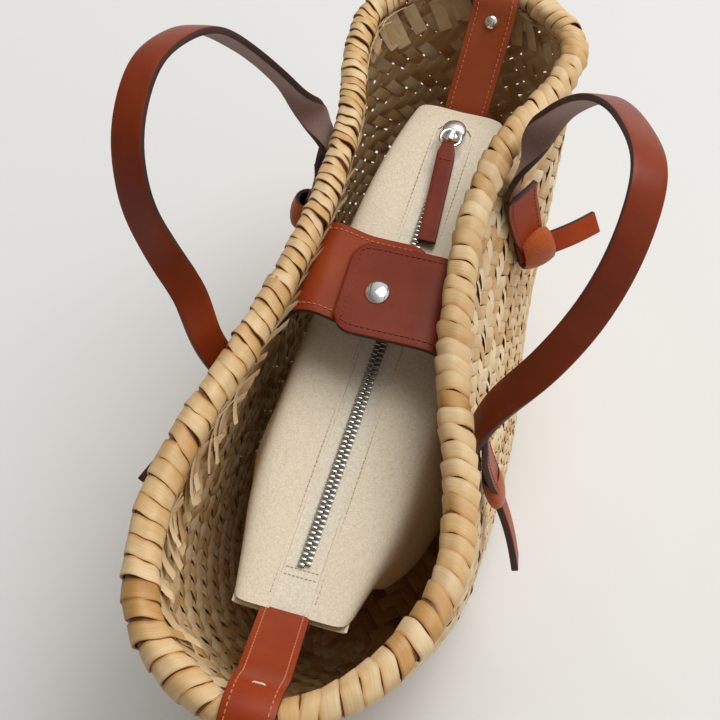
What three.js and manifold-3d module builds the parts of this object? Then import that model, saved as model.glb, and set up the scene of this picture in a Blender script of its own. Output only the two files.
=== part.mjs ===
// A bucket bag of plaited straw with a wrapped rim, two tied leather handles, a leather closure and a canvas
// zip pouch hung inside on two leather straps. The near end is at -Y, the far end at +Y, the floor at Z = 0.
import * as THREE from "three";
import { mergeVertices } from "three/addons/utils/BufferGeometryUtils.js";
import Module from "manifold-3d";

const wasm = await Module();
wasm.setup();

// Basket: an oval base, walls that lean out to a mouth drawn in at the waist.
const BASE_CENTRE = { x: -5, y: 18 };
const BASE_HALF_LENGTH = 122;
const BASE_HALF_WIDTH = 63;
const BASE_SQUARENESS = 2.3;
const BASE_CORNER = 14;
const WALL = 3;
const WALL_BULGE = 6.5;
const RIM_HEIGHT = 203;
const ROLL_RADIUS = 7.8;
const GAP = 0.3;
const WALL_TOP = RIM_HEIGHT - ROLL_RADIUS - GAP;
const RING_POINTS = 72;

// Where the roll's centre line runs on the left and the right along the bag, and its two ends.
const MOUTH_NEAR = { x: -8, y: -204 };
const MOUTH_FAR = { x: -1, y: 188 };
const MOUTH = [
  { y: -180, left: -54, right: 33 },
  { y: -135, left: -69.5, right: 54 },
  { y: -90, left: -66.5, right: 51 },
  { y: -45, left: -56.5, right: 37 },
  { y: 0, left: -48.7, right: 28 },
  { y: 45, left: -44.3, right: 24 },
  { y: 90, left: -46, right: 29 },
  { y: 135, left: -53.5, right: 46.5 },
  { y: 165, left: -46, right: 44 },
];

// Handles: leather straps that stand up in a loop and lean outward, each end flat on the outer wall.
const STRAP_WIDTH = 15;
const STRAP_THICK = 3.2;
const HANDLE_FOOT = RIM_HEIGHT - 39;
const HANDLE_STAND_OFF = { near: 16.5, far: 11.8 };
const HANDLE_FOOT_CLEAR = 1.2;
const HANDLE_FOOT_RISE = 13;
const HANDLE_STEPS = 56;
// How far from the middle of the loop each leg starts and ends its turn to lie flat on the wall, as a share.
const HANDLE_TURN = { near: [0.2, 0.96], far: [0.6, 0.82] };
// Higher up, each far leg first rolls the other way, by an angle in degrees, over its own share.
const HANDLES = [
  { name: "handle_left", side: -1, near: -48, far: 81, lean: 21, roll: { by: -14, from: 0.2, to: 0.5 } },
  { name: "handle_right", side: 1, near: -53, far: 83, lean: 22, roll: { by: -20, from: 0.12, to: 0.4 } },
];
// The loop in its leaning plane: how far along from the near foot, how far up, and how far it bows outward.
const LOOPS = {
  handle_left: [
    { along: 6, rise: 25, bow: 0 },
    { along: 6.5, rise: 51, bow: 0 },
    { along: 9.5, rise: 79, bow: 0 },
    { along: 21, rise: 100, bow: 0 },
    { along: 34, rise: 110, bow: 0 },
    { along: 52, rise: 115.5, bow: 0 },
    { along: 67.5, rise: 112, bow: 0 },
    { along: 89, rise: 98.5, bow: 0 },
    { along: 105, rise: 71.5, bow: 0 },
    { along: 118.5, rise: 35, bow: 0 },
  ],
  handle_right: [
    { along: 4, rise: 42, bow: 4 },
    { along: 15, rise: 75, bow: 7 },
    { along: 30, rise: 102, bow: 6 },
    { along: 52, rise: 117, bow: 4 },
    { along: 86, rise: 103, bow: 2 },
    { along: 114, rise: 79, bow: 0 },
    { along: 132, rise: 48, bow: 0 },
    { along: 138, rise: 23, bow: 0 },
  ],
};

// Ties: the folded band over each handle end, its knot below and the free tail.
const BAND_TOP = RIM_HEIGHT - 21;
const BAND_FOOT = RIM_HEIGHT - 59;
const BAND_WIDTH = 19;
const BAND_THICK = 3;
const KNOT_HEIGHT = RIM_HEIGHT - 65;
const KNOT_RADII = { along: 12, up: 9.5 };
const TAIL_WIDTH = 11;
const TAIL_THICK = 4;
// On each tie: where it sits, how far along from there its knot is and how far it stands out, and how its tail runs.
const TIES = [
  { name: "tie_left_far", side: -1, y: 81, shift: -6, knot: 8, tail: { along: -14, out: 4, up: -34 } },
  { name: "tie_left_near", side: -1, y: -48, shift: 0, knot: 6.8, tail: { along: -40, out: 18, up: -16 } },
  { name: "tie_right_far", side: 1, y: 83, shift: 0, knot: 7.6, tail: { along: 25, out: 24, up: 2 } },
  { name: "tie_right_near", side: 1, y: -52, shift: 0, knot: 5.2, tail: { along: -17, out: 13, up: -50 } },
];

// Closure: a wide flap from the right wall snapped over a strip from the left wall.
const FLAP_Y = 5;
const STRIP_Y = 9.5;
const CLOSURE_WIDTH = 49;
const CLOSURE_THICK = 3;
const CLOSURE_CORNER = 10;
const FLAP_HEIGHT = RIM_HEIGHT - 10.4;
const FLAP_REACH = 52.5;
const STRIP_HEIGHT = FLAP_HEIGHT - CLOSURE_THICK - 8 * GAP;
const STRIP_HUMP = 5;
const STRIP_REACH = 55;
const SNAP = { x: -9, y: 2, radius: 6.2, height: 3.2 };

// Pouch: a canvas bag with a wide flat top that reaches past its belly at both ends, and a zip along it.
const CANVAS = 1.5;
const POUCH_X = -6;
const POUCH_TURN = THREE.MathUtils.degToRad(-1.8);
const POUCH_TOP = RIM_HEIGHT - 45;
const POUCH_DEPTH = 105;
// Half widths of the top and of the belly at places along the pouch.
const POUCH_STATIONS = [
  { y: -139, top: 27, belly: 27 },
  { y: -114, top: 31, belly: 40 },
  { y: -83, top: 36.5, belly: 47 },
  { y: -40, top: 37, belly: 46 },
  { y: 0, top: 37, belly: 42 },
  { y: 58, top: 36, belly: 39 },
  { y: 96, top: 33.5, belly: 37 },
  { y: 123, top: 29, belly: 33 },
  { y: 140, top: 24.5, belly: 25 },
];
// From the middle of the top down to the floor: how deep, what share of each half width, and of the length.
const POUCH_PROFILE = [
  { drop: 0, top: 0.55, belly: 0, length: 1 },
  { drop: 0.8, top: 0.82, belly: 0, length: 1 },
  { drop: 2.6, top: 0.96, belly: 0, length: 0.995 },
  { drop: 6, top: 1, belly: 0, length: 0.97 },
  { drop: 20, top: 0.5, belly: 0.5, length: 0.83 },
  { drop: 45, top: 0, belly: 1, length: 0.74 },
  { drop: 70, top: 0, belly: 1, length: 0.66 },
  { drop: 88, top: 0, belly: 0.93, length: 0.57 },
  { drop: 100, top: 0, belly: 0.78, length: 0.49 },
  { drop: 105, top: 0, belly: 0.5, length: 0.42 },
];

// Zip: tape under the canvas, a metal chain in the slot, and a slider with ring and leather pull.
const SLOT = { width: 12, near: -122, far: 131 };
const TAPE = { width: 26, thick: 0.8, near: -130, far: 134 };
const CHAIN = { width: 7.4, height: 3.4, near: -119, far: 129 };
const SLIDER = { width: 11, length: 16, height: 4.6, near: 118.4 };
const RING = { radius: 5, wire: 1.1, squareness: 4, overlap: 4.6 };
const PULL = { width: 9, neck: 5, thick: 1.2, tip: 56, shift: 5 };

// End straps: from the ends of the pouch up over the roll and down outside.
const END_STRAP_WIDTH = 22;
const END_STRAP_THICK = 2.6;
const END_STRAP_FOOT = RIM_HEIGHT - 39;
const END_STRAP_INSIDE = 6.6;
const END_STRAPS = [
  { name: "strap_near", sign: -1, pouchX: -12, rimX: -5.5, pouchY: -139, mouth: MOUTH_NEAR },
  { name: "strap_far", sign: 1, pouchX: 0, rimX: 5.5, pouchY: 140, mouth: MOUTH_FAR },
];
const STRAP_SNAP = { radius: 3.7, height: 2.2, share: 0.9 };

const UP = new THREE.Vector3(0, 0, 1);
const STRAW = 0xd9bd8e;
const LEATHER = 0x8f4330;
const CLOTH = 0xe3d8c3;
const METAL = 0xc8c8cc;

// Joins rings of points, given in order along the piece, into one closed surface with flat ends.
function skin(rings, isLoop = false) {
  const count = rings[0].length;
  const points = rings.flat();
  const faces = [];
  const last = isLoop ? rings.length : rings.length - 1;
  for (let k = 0; k < last; k++) {
    const a = k * count;
    const b = ((k + 1) % rings.length) * count;
    for (let i = 0; i < count; i++) {
      const j = (i + 1) % count;
      faces.push(a + i, a + j, b + j, a + i, b + j, b + i);
    }
  }
  if (!isLoop) {
    const middle = (ring) =>
      ring.reduce((sum, p) => sum.add(p), new THREE.Vector3()).divideScalar(count);
    const start = points.push(middle(rings[0])) - 1;
    const end = points.push(middle(rings.at(-1))) - 1;
    const a = (rings.length - 1) * count;
    for (let i = 0; i < count; i++) {
      const j = (i + 1) % count;
      faces.push(start, j, i, end, a + i, a + j);
    }
  }
  const geometry = new THREE.BufferGeometry().setFromPoints(points);
  geometry.setIndex(faces);
  return geometry;
}

function solid(geometry) {
  const bare = geometry.clone();
  bare.deleteAttribute("normal");
  bare.deleteAttribute("uv");
  const merged = mergeVertices(bare, 1e-3);
  const vertProperties = new Float32Array(merged.attributes.position.array);
  const triVerts = new Uint32Array(merged.index.array);
  return new wasm.Manifold(new wasm.Mesh({ numProp: 3, vertProperties, triVerts }));
}

function geometryOf(body) {
  const mesh = body.getMesh();
  const geometry = new THREE.BufferGeometry();
  geometry.setAttribute("position", new THREE.BufferAttribute(new Float32Array(mesh.vertProperties), 3));
  geometry.setIndex([...mesh.triVerts]);
  return geometry;
}

// Points at even steps along a closed line of points.
function evenly(points, count) {
  const lengths = [0];
  for (let i = 0; i < points.length; i++) {
    const next = points[(i + 1) % points.length];
    lengths.push(lengths[i] + points[i].distanceTo(next));
  }
  const even = [];
  let i = 0;
  for (let k = 0; k < count; k++) {
    const at = (lengths.at(-1) * k) / count;
    while (lengths[i + 1] < at) i++;
    const share = (at - lengths[i]) / (lengths[i + 1] - lengths[i]);
    even.push(points[i].clone().lerp(points[(i + 1) % points.length], share));
  }
  return even;
}

function baseOutline(count) {
  const power = (value) => Math.sign(value) * Math.abs(value) ** (2 / BASE_SQUARENESS);
  const line = [];
  for (let i = 0; i < 720; i++) {
    const turn = (i / 720) * 2 * Math.PI;
    const x = BASE_CENTRE.x + BASE_HALF_WIDTH * power(Math.sin(turn));
    const y = BASE_CENTRE.y - BASE_HALF_LENGTH * power(Math.cos(turn));
    line.push(new THREE.Vector3(x, y, 0));
  }
  return evenly(line, count);
}

function mouthOutline(count) {
  const right = MOUTH.map((row) => new THREE.Vector3(row.right, row.y, 0));
  const left = MOUTH.map((row) => new THREE.Vector3(row.left, row.y, 0)).reverse();
  const near = new THREE.Vector3(MOUTH_NEAR.x, MOUTH_NEAR.y, 0);
  const far = new THREE.Vector3(MOUTH_FAR.x, MOUTH_FAR.y, 0);
  const curve = new THREE.CatmullRomCurve3([near, ...right, far, ...left], true, "catmullrom", 0.5);
  return evenly(curve.getPoints(800).slice(0, 800), count);
}

function outwards(ring) {
  return ring.map((point, i) => {
    const before = ring[(i + ring.length - 1) % ring.length];
    const after = ring[(i + 1) % ring.length];
    const along = after.clone().sub(before);
    return new THREE.Vector3(along.y, -along.x, 0).normalize();
  });
}

// The wall's ring at height z, set in from its outer face by depth.
function wallRing(z, depth, count = RING_POINTS) {
  const share = z / WALL_TOP;
  const base = baseOutline(count);
  const mouth = mouthOutline(count);
  const ring = base.map((point, i) => point.clone().lerp(mouth[i], share));
  const corner = BASE_CORNER - depth;
  const below = Math.max(0, BASE_CORNER - z);
  const inset = depth - WALL / 2 + corner - Math.sqrt(corner ** 2 - below ** 2);
  const bulge = WALL_BULGE * Math.sin(Math.PI * share);
  const out = outwards(ring);
  return ring.map((point, i) => point.addScaledVector(out[i], bulge - inset).setZ(z));
}

// A point of the wall's outer face (or of its inner face, with depth) at height z on one side, with its directions.
function wallAt(side, y, z, depth = 0) {
  const ring = wallRing(z, depth, 360);
  const out = outwards(ring);
  let best = 0;
  ring.forEach((point, i) => {
    const isCloser = Math.abs(point.y - y) < Math.abs(ring[best].y - y);
    const isSide = out[i].x * side > 0.3;
    if (isSide && (isCloser || out[best].x * side <= 0.3)) best = i;
  });
  const along = UP.clone().cross(out[best]).multiplyScalar(side);
  return { point: ring[best], out: out[best], along };
}

// A flat strip along a path. Each stop has its middle point, the direction across and, if not full, its width.
function strip(stops, width, thick) {
  const rings = stops.map((stop, i) => {
    const before = stops[Math.max(0, i - 1)].point;
    const after = stops[Math.min(stops.length - 1, i + 1)].point;
    const along = after.clone().sub(before).normalize();
    const across = stop.across.clone().addScaledVector(along, -stop.across.dot(along)).normalize();
    const face = across.clone().cross(along);
    const half = (stop.width ?? width) / 2;
    const corner = (w, t) => stop.point.clone().addScaledVector(across, w).addScaledVector(face, t);
    return [corner(-half, thick / 2), corner(half, thick / 2), corner(half, -thick / 2), corner(-half, -thick / 2)];
  });
  return skin(rings);
}

function smooth(points, count) {
  return new THREE.CatmullRomCurve3(points, false, "centripetal").getSpacedPoints(count);
}

const bag = new THREE.Group();
bag.name = "straw_bucket_bag";

function addPiece(name, geometry, color, roughness, metalness = 0) {
  const mesh = new THREE.Mesh(geometry, new THREE.MeshStandardMaterial({ color, roughness, metalness }));
  mesh.name = name;
  bag.add(mesh);
}

function basket() {
  const heights = [BASE_CORNER, 34, 62, 90, 118, 146, 170, 184, WALL_TOP];
  const outer = [0, 1.6, 6, ...heights].map((z) => wallRing(z, 0));
  const inner = [WALL, 4.4, 8, ...heights].map((z) => wallRing(z, WALL)).reverse();
  return skin([...outer, ...inner]);
}

function rimRoll() {
  const line = mouthOutline(108);
  const out = outwards(line);
  const rings = line.map((point, i) => {
    const ring = [];
    for (let k = 0; k < 12; k++) {
      const turn = (-k / 12) * 2 * Math.PI;
      const spot = point.clone().setZ(RIM_HEIGHT);
      spot.addScaledVector(out[i], ROLL_RADIUS * Math.cos(turn));
      spot.addScaledVector(UP, ROLL_RADIUS * Math.sin(turn));
      ring.push(spot);
    }
    return ring;
  });
  return skin(rings, true);
}

function handle(row) {
  const feet = ["near", "far"].map((end) => {
    const rim = wallAt(row.side, row[end], WALL_TOP, WALL / 2);
    return rim.point.clone().addScaledVector(rim.out, HANDLE_STAND_OFF[end]).setZ(RIM_HEIGHT);
  });
  const along = feet[1].clone().sub(feet[0]).normalize();
  const out = along.clone().cross(UP).multiplyScalar(row.side);
  const lean = THREE.MathUtils.degToRad(row.lean);
  const rise = UP.clone().multiplyScalar(Math.cos(lean)).addScaledVector(out, Math.sin(lean));
  const across = along.clone().cross(rise);
  const foot = (y, z) => {
    const wall = wallAt(row.side, y, z);
    return wall.point.clone().addScaledVector(wall.out, HANDLE_FOOT_CLEAR + STRAP_THICK / 2);
  };
  const loop = LOOPS[row.name].map((at) => {
    const spot = feet[0].clone().addScaledVector(out, at.bow);
    return spot.addScaledVector(along, at.along).addScaledVector(rise, at.rise);
  });
  const points = smooth(
    [
      foot(row.near, HANDLE_FOOT),
      foot(row.near, HANDLE_FOOT + HANDLE_FOOT_RISE),
      feet[0],
      ...loop,
      feet[1],
      foot(row.far, HANDLE_FOOT + HANDLE_FOOT_RISE),
      foot(row.far, HANDLE_FOOT),
    ],
    HANDLE_STEPS,
  );
  const middle = (points.length - 1) / 2;
  const stops = points.map((point, i) => {
    const end = i < middle ? "near" : "far";
    const share = Math.abs(i - middle) / middle;
    const rolled = THREE.MathUtils.smoothstep(share, row.roll.from, row.roll.to);
    const roll = end === "far" ? row.roll.by * rolled : 0;
    const flatten = THREE.MathUtils.smoothstep(share, ...HANDLE_TURN[end]);
    const turn = THREE.MathUtils.degToRad(roll + (90 - roll) * flatten);
    const flat = wallAt(row.side, row[end], BAND_TOP).along;
    flat.multiplyScalar(-row.side * Math.sin(turn));
    return { point, across: flat.addScaledVector(across, Math.cos(turn)) };
  });
  return strip(stops, STRAP_WIDTH, STRAP_THICK);
}

function tie(row) {
  const on = (z, off) => {
    const wall = wallAt(row.side, row.y, z);
    return { point: wall.point.clone().addScaledVector(wall.out, off), across: wall.along.clone() };
  };
  const clear = HANDLE_FOOT_CLEAR + STRAP_THICK + 2 * GAP + BAND_THICK / 2;
  const band = [
    { ...on(BAND_TOP, clear + 2.2), width: BAND_WIDTH },
    { ...on(BAND_TOP - 10, clear + 0.3), width: BAND_WIDTH },
    { ...on(BAND_TOP - 20, clear), width: BAND_WIDTH },
    { ...on(BAND_TOP - 29, clear), width: BAND_WIDTH - 3 },
    { ...on(BAND_FOOT, clear + 1), width: BAND_WIDTH - 6 },
  ];
  const { point, out, along } = wallAt(row.side, row.y + row.shift, KNOT_HEIGHT);
  const centre = point.clone().addScaledVector(out, row.knot + GAP + 0.6);
  const knot = new THREE.SphereGeometry(1, 14, 9);
  const frame = new THREE.Matrix4().makeBasis(
    out.clone().multiplyScalar(row.knot),
    UP.clone().cross(out).multiplyScalar(KNOT_RADII.along),
    UP.clone().multiplyScalar(KNOT_RADII.up),
  );
  knot.applyMatrix4(frame.setPosition(centre));
  const way = along.clone().multiplyScalar(row.tail.along);
  way.addScaledVector(out, row.tail.out).addScaledVector(UP, row.tail.up);
  const tip = centre.clone().add(way);
  const bow = out.clone().multiplyScalar(1.5);
  const tail = [0, 0.35, 0.7, 1].map((share) => ({
    point: centre.clone().lerp(tip, share).addScaledVector(bow, Math.sin(Math.PI * share)),
    across: way.clone().cross(out),
  }));
  const pieces = [strip(band, BAND_WIDTH, BAND_THICK), knot, strip(tail, TAIL_WIDTH, TAIL_THICK)].map(solid);
  return geometryOf(pieces[0].add(pieces[1]).add(pieces[2]));
}

// One side of the closure: sewn up the inner wall, over a hump under the roll, then level straight across the mouth
// to a tip with rounded corners.
function closure(side, y, height, reach, hump) {
  const off = CLOSURE_THICK / 2 + 1.6;
  const low = wallAt(side, y, RIM_HEIGHT - 39, WALL);
  const high = wallAt(side, y, RIM_HEIGHT - 23, WALL);
  const inward = new THREE.Vector3(-side, 0, 0);
  const at = (way, z) => high.point.clone().addScaledVector(inward, off + way).setZ(z);
  const line = [
    low.point.clone().addScaledVector(inward, off),
    at(0, RIM_HEIGHT - 23),
    at(5, height - 2 + hump),
    at(12, height + hump),
    at(25, height + 0.1 * hump),
    at(0.7 * reach, height),
    at(reach, height),
  ];
  const tip = line.at(-1);
  const onWall = high.along.clone().multiplyScalar(-side);
  const straight = new THREE.Vector3(0, -side, 0);
  const curve = new THREE.CatmullRomCurve3(line, false, "catmullrom", 0.3);
  return strip(
    curve.getSpacedPoints(30).map((point, i) => {
      const across = onWall.clone().lerp(straight, THREE.MathUtils.smoothstep(i, 6, 14));
      const left = Math.min(CLOSURE_CORNER, point.distanceTo(tip));
      const cut = CLOSURE_CORNER - Math.sqrt(CLOSURE_CORNER ** 2 - (CLOSURE_CORNER - left) ** 2);
      return { point, across, width: CLOSURE_WIDTH - 1.6 * cut };
    }),
    CLOSURE_WIDTH,
    CLOSURE_THICK,
  );
}

// A low dome turned about Z, standing on its flat foot.
function dome(radius, height) {
  const profile = [new THREE.Vector2(0, 0), new THREE.Vector2(radius, 0), new THREE.Vector2(radius, height * 0.3)];
  for (let k = 1; k <= 5; k++) {
    const turn = (k / 5) * (Math.PI / 2);
    profile.push(new THREE.Vector2(radius * Math.cos(turn), height * (0.3 + 0.7 * Math.sin(turn))));
  }
  profile.at(-1).x = 0;
  return new THREE.LatheGeometry(profile, 24).rotateX(Math.PI / 2);
}

// The pouch's outer body, or with an inset the room inside it.
function pouchBody(inset) {
  const near = POUCH_STATIONS[0].y;
  const far = POUCH_STATIONS.at(-1).y;
  const line = (name) =>
    new THREE.CatmullRomCurve3(POUCH_STATIONS.map((row) => new THREE.Vector3(row[name], row.y, 0))).getPoints(64);
  const lines = { top: line("top"), belly: line("belly") };
  const at = (name, y) =>
    lines[name].reduce((a, b) => (Math.abs(b.y - y) < Math.abs(a.y - y) ? b : a)).x - inset;
  const lengthAt = (drop) => {
    const i = Math.max(1, POUCH_PROFILE.findIndex((row) => row.drop >= drop));
    const [a, b] = [POUCH_PROFILE[i - 1], POUCH_PROFILE[i]];
    return THREE.MathUtils.mapLinear(drop, a.drop, b.drop, a.length, b.length);
  };
  const rings = [];
  for (let k = 0; k <= 16; k++) {
    const share = 0.5 - 0.5 * Math.cos((Math.PI * k) / 16);
    const y = THREE.MathUtils.lerp(near, far, share);
    const right = POUCH_PROFILE.map((row) => {
      const drop = inset + (row.drop * (POUCH_DEPTH - 2 * inset)) / POUCH_DEPTH;
      const length = lengthAt(drop);
      const ends = [near * length + 1.5 * inset, far * length - 1.5 * inset];
      const x = row.top * at("top", y) + row.belly * at("belly", y);
      return new THREE.Vector3(x, THREE.MathUtils.lerp(...ends, share), POUCH_TOP - drop);
    });
    const left = right.map((point) => new THREE.Vector3(-point.x, point.y, point.z));
    rings.push([...right.reverse(), ...left].reverse());
  }
  return skin(rings);
}

function box(width, length, height, y, z) {
  return new THREE.BoxGeometry(width, length, height).translate(0, y, z);
}

// The pouch and its zip are drawn straight along Y, then set a little askew in the basket.
function onPouch(geometry) {
  return geometry.rotateZ(POUCH_TURN).translate(POUCH_X, 0, 0);
}

function pouch() {
  const middle = (SLOT.near + SLOT.far) / 2;
  const slot = box(SLOT.width, SLOT.far - SLOT.near, 20, middle, POUCH_TOP);
  return onPouch(geometryOf(solid(pouchBody(0)).subtract(solid(pouchBody(CANVAS))).subtract(solid(slot))));
}

const TAPE_TOP = POUCH_TOP - CANVAS - GAP;
const CHAIN_FOOT = TAPE_TOP + GAP;
const CHAIN_TOP = CHAIN_FOOT + CHAIN.height;
const RING_HEIGHT = CHAIN_TOP + 3.9;
const RING_Y = SLIDER.near + RING.overlap - RING.radius;

function slider() {
  const shape = new THREE.Shape();
  const half = SLIDER.width / 2;
  shape.moveTo(-half * 0.6, 0).lineTo(half * 0.6, 0).lineTo(half, SLIDER.length * 0.45);
  shape.lineTo(half, SLIDER.length).lineTo(-half, SLIDER.length).lineTo(-half, SLIDER.length * 0.45);
  const body = new THREE.ExtrudeGeometry(shape, { depth: 2, bevelEnabled: false });
  body.translate(0, SLIDER.near, CHAIN_TOP + GAP);
  const bridgeHeight = SLIDER.height - 1.6;
  const bridgeZ = CHAIN_TOP + GAP + 1.6 + bridgeHeight / 2;
  const bridgeLength = SLIDER.length - RING.overlap - 4;
  const bridgeY = SLIDER.near + RING.overlap + RING.wire + 2 * GAP + bridgeLength / 2;
  const bridge = box(3.4, bridgeLength, bridgeHeight, bridgeY, bridgeZ);
  return onPouch(geometryOf(solid(body).add(solid(bridge))));
}

function ring() {
  const rings = [];
  for (let k = 0; k < 24; k++) {
    const turn = (k / 24) * 2 * Math.PI;
    const out = new THREE.Vector3(Math.cos(turn), Math.sin(turn), 0);
    const power = Math.abs(out.x) ** RING.squareness + Math.abs(out.y) ** RING.squareness;
    const centre = new THREE.Vector3(0, RING_Y, RING_HEIGHT);
    centre.addScaledVector(out, RING.radius / power ** (1 / RING.squareness));
    const circle = [];
    for (let i = 0; i < 8; i++) {
      const round = (-i / 8) * 2 * Math.PI;
      const spot = centre.clone().addScaledVector(out, RING.wire * Math.cos(round));
      circle.push(spot.addScaledVector(UP, RING.wire * Math.sin(round)));
    }
    rings.push(circle);
  }
  return onPouch(skin(rings, true));
}

// The leather pull is one strip folded round the ring, its two layers flat on each other.
function pull() {
  const fold = RING.wire + GAP + PULL.thick / 2 + 0.1;
  const wireY = RING_Y - RING.radius;
  const low = CHAIN_TOP + GAP + PULL.thick / 2 + 0.2;
  const high = low + PULL.thick + 0.25;
  const x = (y) => (PULL.shift * (wireY - y)) / (wireY - PULL.tip);
  const line = [new THREE.Vector3(x(PULL.tip), PULL.tip, low), new THREE.Vector3(x(90), 90, low)];
  for (let k = 0; k <= 8; k++) {
    const turn = -Math.PI / 2 + (k / 8) * Math.PI;
    const y = wireY + fold * Math.cos(turn);
    line.push(new THREE.Vector3(x(y), y, RING_HEIGHT + fold * Math.sin(turn)));
  }
  line.push(new THREE.Vector3(x(90), 90, high), new THREE.Vector3(x(PULL.tip), PULL.tip, high));
  const across = new THREE.Vector3(1, 0, 0);
  const curve = new THREE.CatmullRomCurve3(line, false, "catmullrom", 0.1);
  const stops = curve.getPoints(line.length * 3).map((point) => {
    const share = THREE.MathUtils.smoothstep(wireY - point.y, 1, 6);
    return { point, across, width: THREE.MathUtils.lerp(PULL.neck, PULL.width, share) };
  });
  return onPouch(strip(stops, PULL.width, PULL.thick));
}

// The end strap's path: straight from the pouch to the roll, round over it, then down the outer wall.
function endStrapPath(row) {
  const reach = ROLL_RADIUS + 3 * GAP + END_STRAP_THICK / 2;
  const start = new THREE.Vector3(row.pouchX, row.pouchY + row.sign * (END_STRAP_THICK / 2 + 0.6), POUCH_TOP - 3);
  const line = [start];
  for (let k = 0; k <= 10; k++) {
    const turn = (-0.08 + (k / 10) * 1.1) * Math.PI;
    const inside = END_STRAP_INSIDE * Math.max(0, Math.cos(turn));
    const y = row.mouth.y - row.sign * (reach * Math.cos(turn) + inside);
    line.push(new THREE.Vector3(row.rimX, y, RIM_HEIGHT + reach * Math.sin(turn)));
  }
  const ring = wallRing(END_STRAP_FOOT, 0, 360);
  const wallY = ring.reduce((a, b) => (b.y * row.sign > a.y * row.sign ? b : a)).y;
  line.push(new THREE.Vector3(row.rimX, wallY + row.sign * (END_STRAP_THICK / 2 + 2.2), END_STRAP_FOOT));
  return line;
}

function endStrap(row) {
  const across = new THREE.Vector3(row.sign, 0, 0);
  const stops = endStrapPath(row).map((point) => ({ point, across }));
  return strip(stops, END_STRAP_WIDTH, END_STRAP_THICK);
}

// The far strap's snap lies on the strap's upper face between the pouch and the roll.
function strapSnap() {
  const [start, bend] = endStrapPath(END_STRAPS[1]);
  const along = bend.clone().sub(start).normalize();
  const across = new THREE.Vector3(1, 0, 0);
  across.addScaledVector(along, -across.dot(along)).normalize();
  const face = across.clone().cross(along);
  const at = start.clone().lerp(bend, STRAP_SNAP.share).addScaledVector(face, END_STRAP_THICK / 2 + GAP);
  const frame = new THREE.Matrix4().makeBasis(across, along, face).setPosition(at);
  return dome(STRAP_SNAP.radius, STRAP_SNAP.height).applyMatrix4(frame);
}

addPiece("basket", basket(), STRAW, 0.8);
addPiece("rim_roll", rimRoll(), STRAW, 0.8);
for (const row of HANDLES) addPiece(row.name, handle(row), LEATHER, 0.5);
for (const row of TIES) addPiece(row.name, tie(row), LEATHER, 0.5);
addPiece("closure_flap", closure(1, FLAP_Y, FLAP_HEIGHT, FLAP_REACH, 0), LEATHER, 0.5);
addPiece("closure_strip", closure(-1, STRIP_Y, STRIP_HEIGHT, STRIP_REACH, STRIP_HUMP), LEATHER, 0.5);
const cap = dome(SNAP.radius, SNAP.height).translate(SNAP.x, SNAP.y, FLAP_HEIGHT + CLOSURE_THICK / 2 + GAP);
addPiece("closure_snap", cap, METAL, 0.2, 1);
addPiece("pouch", pouch(), CLOTH, 0.9);
const tapeMiddle = (TAPE.near + TAPE.far) / 2;
const tape = box(TAPE.width, TAPE.far - TAPE.near, TAPE.thick, tapeMiddle, TAPE_TOP - TAPE.thick / 2);
addPiece("zip_tape", onPouch(tape), CLOTH, 0.9);
const chainMiddle = (CHAIN.near + CHAIN.far) / 2;
const chainZ = CHAIN_FOOT + CHAIN.height / 2;
const chain = box(CHAIN.width, CHAIN.far - CHAIN.near, CHAIN.height, chainMiddle, chainZ);
addPiece("zip_chain", onPouch(chain), METAL, 0.3, 1);
addPiece("zip_slider", slider(), METAL, 0.2, 1);
addPiece("zip_ring", ring(), METAL, 0.2, 1);
addPiece("zip_pull", pull(), LEATHER, 0.5);
for (const row of END_STRAPS) addPiece(row.name, endStrap(row), LEATHER, 0.5);
addPiece("strap_snap", strapSnap(), METAL, 0.2, 1);

export default bag;
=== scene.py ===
import bmesh
import bpy
import numpy as np
from mathutils import Matrix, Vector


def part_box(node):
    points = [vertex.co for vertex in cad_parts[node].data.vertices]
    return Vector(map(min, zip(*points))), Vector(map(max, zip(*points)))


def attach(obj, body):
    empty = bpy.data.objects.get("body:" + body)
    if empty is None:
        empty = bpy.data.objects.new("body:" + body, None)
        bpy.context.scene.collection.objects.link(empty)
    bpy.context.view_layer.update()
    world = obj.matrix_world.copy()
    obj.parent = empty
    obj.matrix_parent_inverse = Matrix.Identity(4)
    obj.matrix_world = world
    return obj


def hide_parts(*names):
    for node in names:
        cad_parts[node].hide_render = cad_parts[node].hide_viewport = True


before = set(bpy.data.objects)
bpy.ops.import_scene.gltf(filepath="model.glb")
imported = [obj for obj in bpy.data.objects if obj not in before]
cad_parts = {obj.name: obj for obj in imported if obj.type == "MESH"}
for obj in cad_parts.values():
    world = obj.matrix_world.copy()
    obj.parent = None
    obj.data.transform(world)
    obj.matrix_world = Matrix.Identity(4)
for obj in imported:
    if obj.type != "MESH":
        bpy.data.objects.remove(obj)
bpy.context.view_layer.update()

# Basket wall and floor
# The basket is plaited from flat dried leaf strands. Two sets climb the wall in opposite ways round, each
# over two strands and under two, and lie crosswise in the floor. Nothing but the plaiting holds them.
MM = 0.001
SMOOTH_ANGLE = 40
MAP_SHIFT = 7.3
RING_EDGES = range(5, 8)
STRANDS = 108
STRAND_CLIMB = 1.3
STRAND_THICK = 0.95
STRAND_RIPPLE = 1.2
RIPPLE_FLATNESS = 1.25
STRAND_WANDER = 0.0006
STRAND_TONES = (-0.06, 0.5, 1.2, 3.6)
PATCH_TONE = 0.05
BACK_TONE = 0.14
STEPS_A_ROW = 2
FLOOR_PITCH = 6.6
FLOOR_COVER = 0.97
FLOOR_TONES = (0.2, 0.5, 1.4, 4)
FLOOR_STEPS = 72
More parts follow.
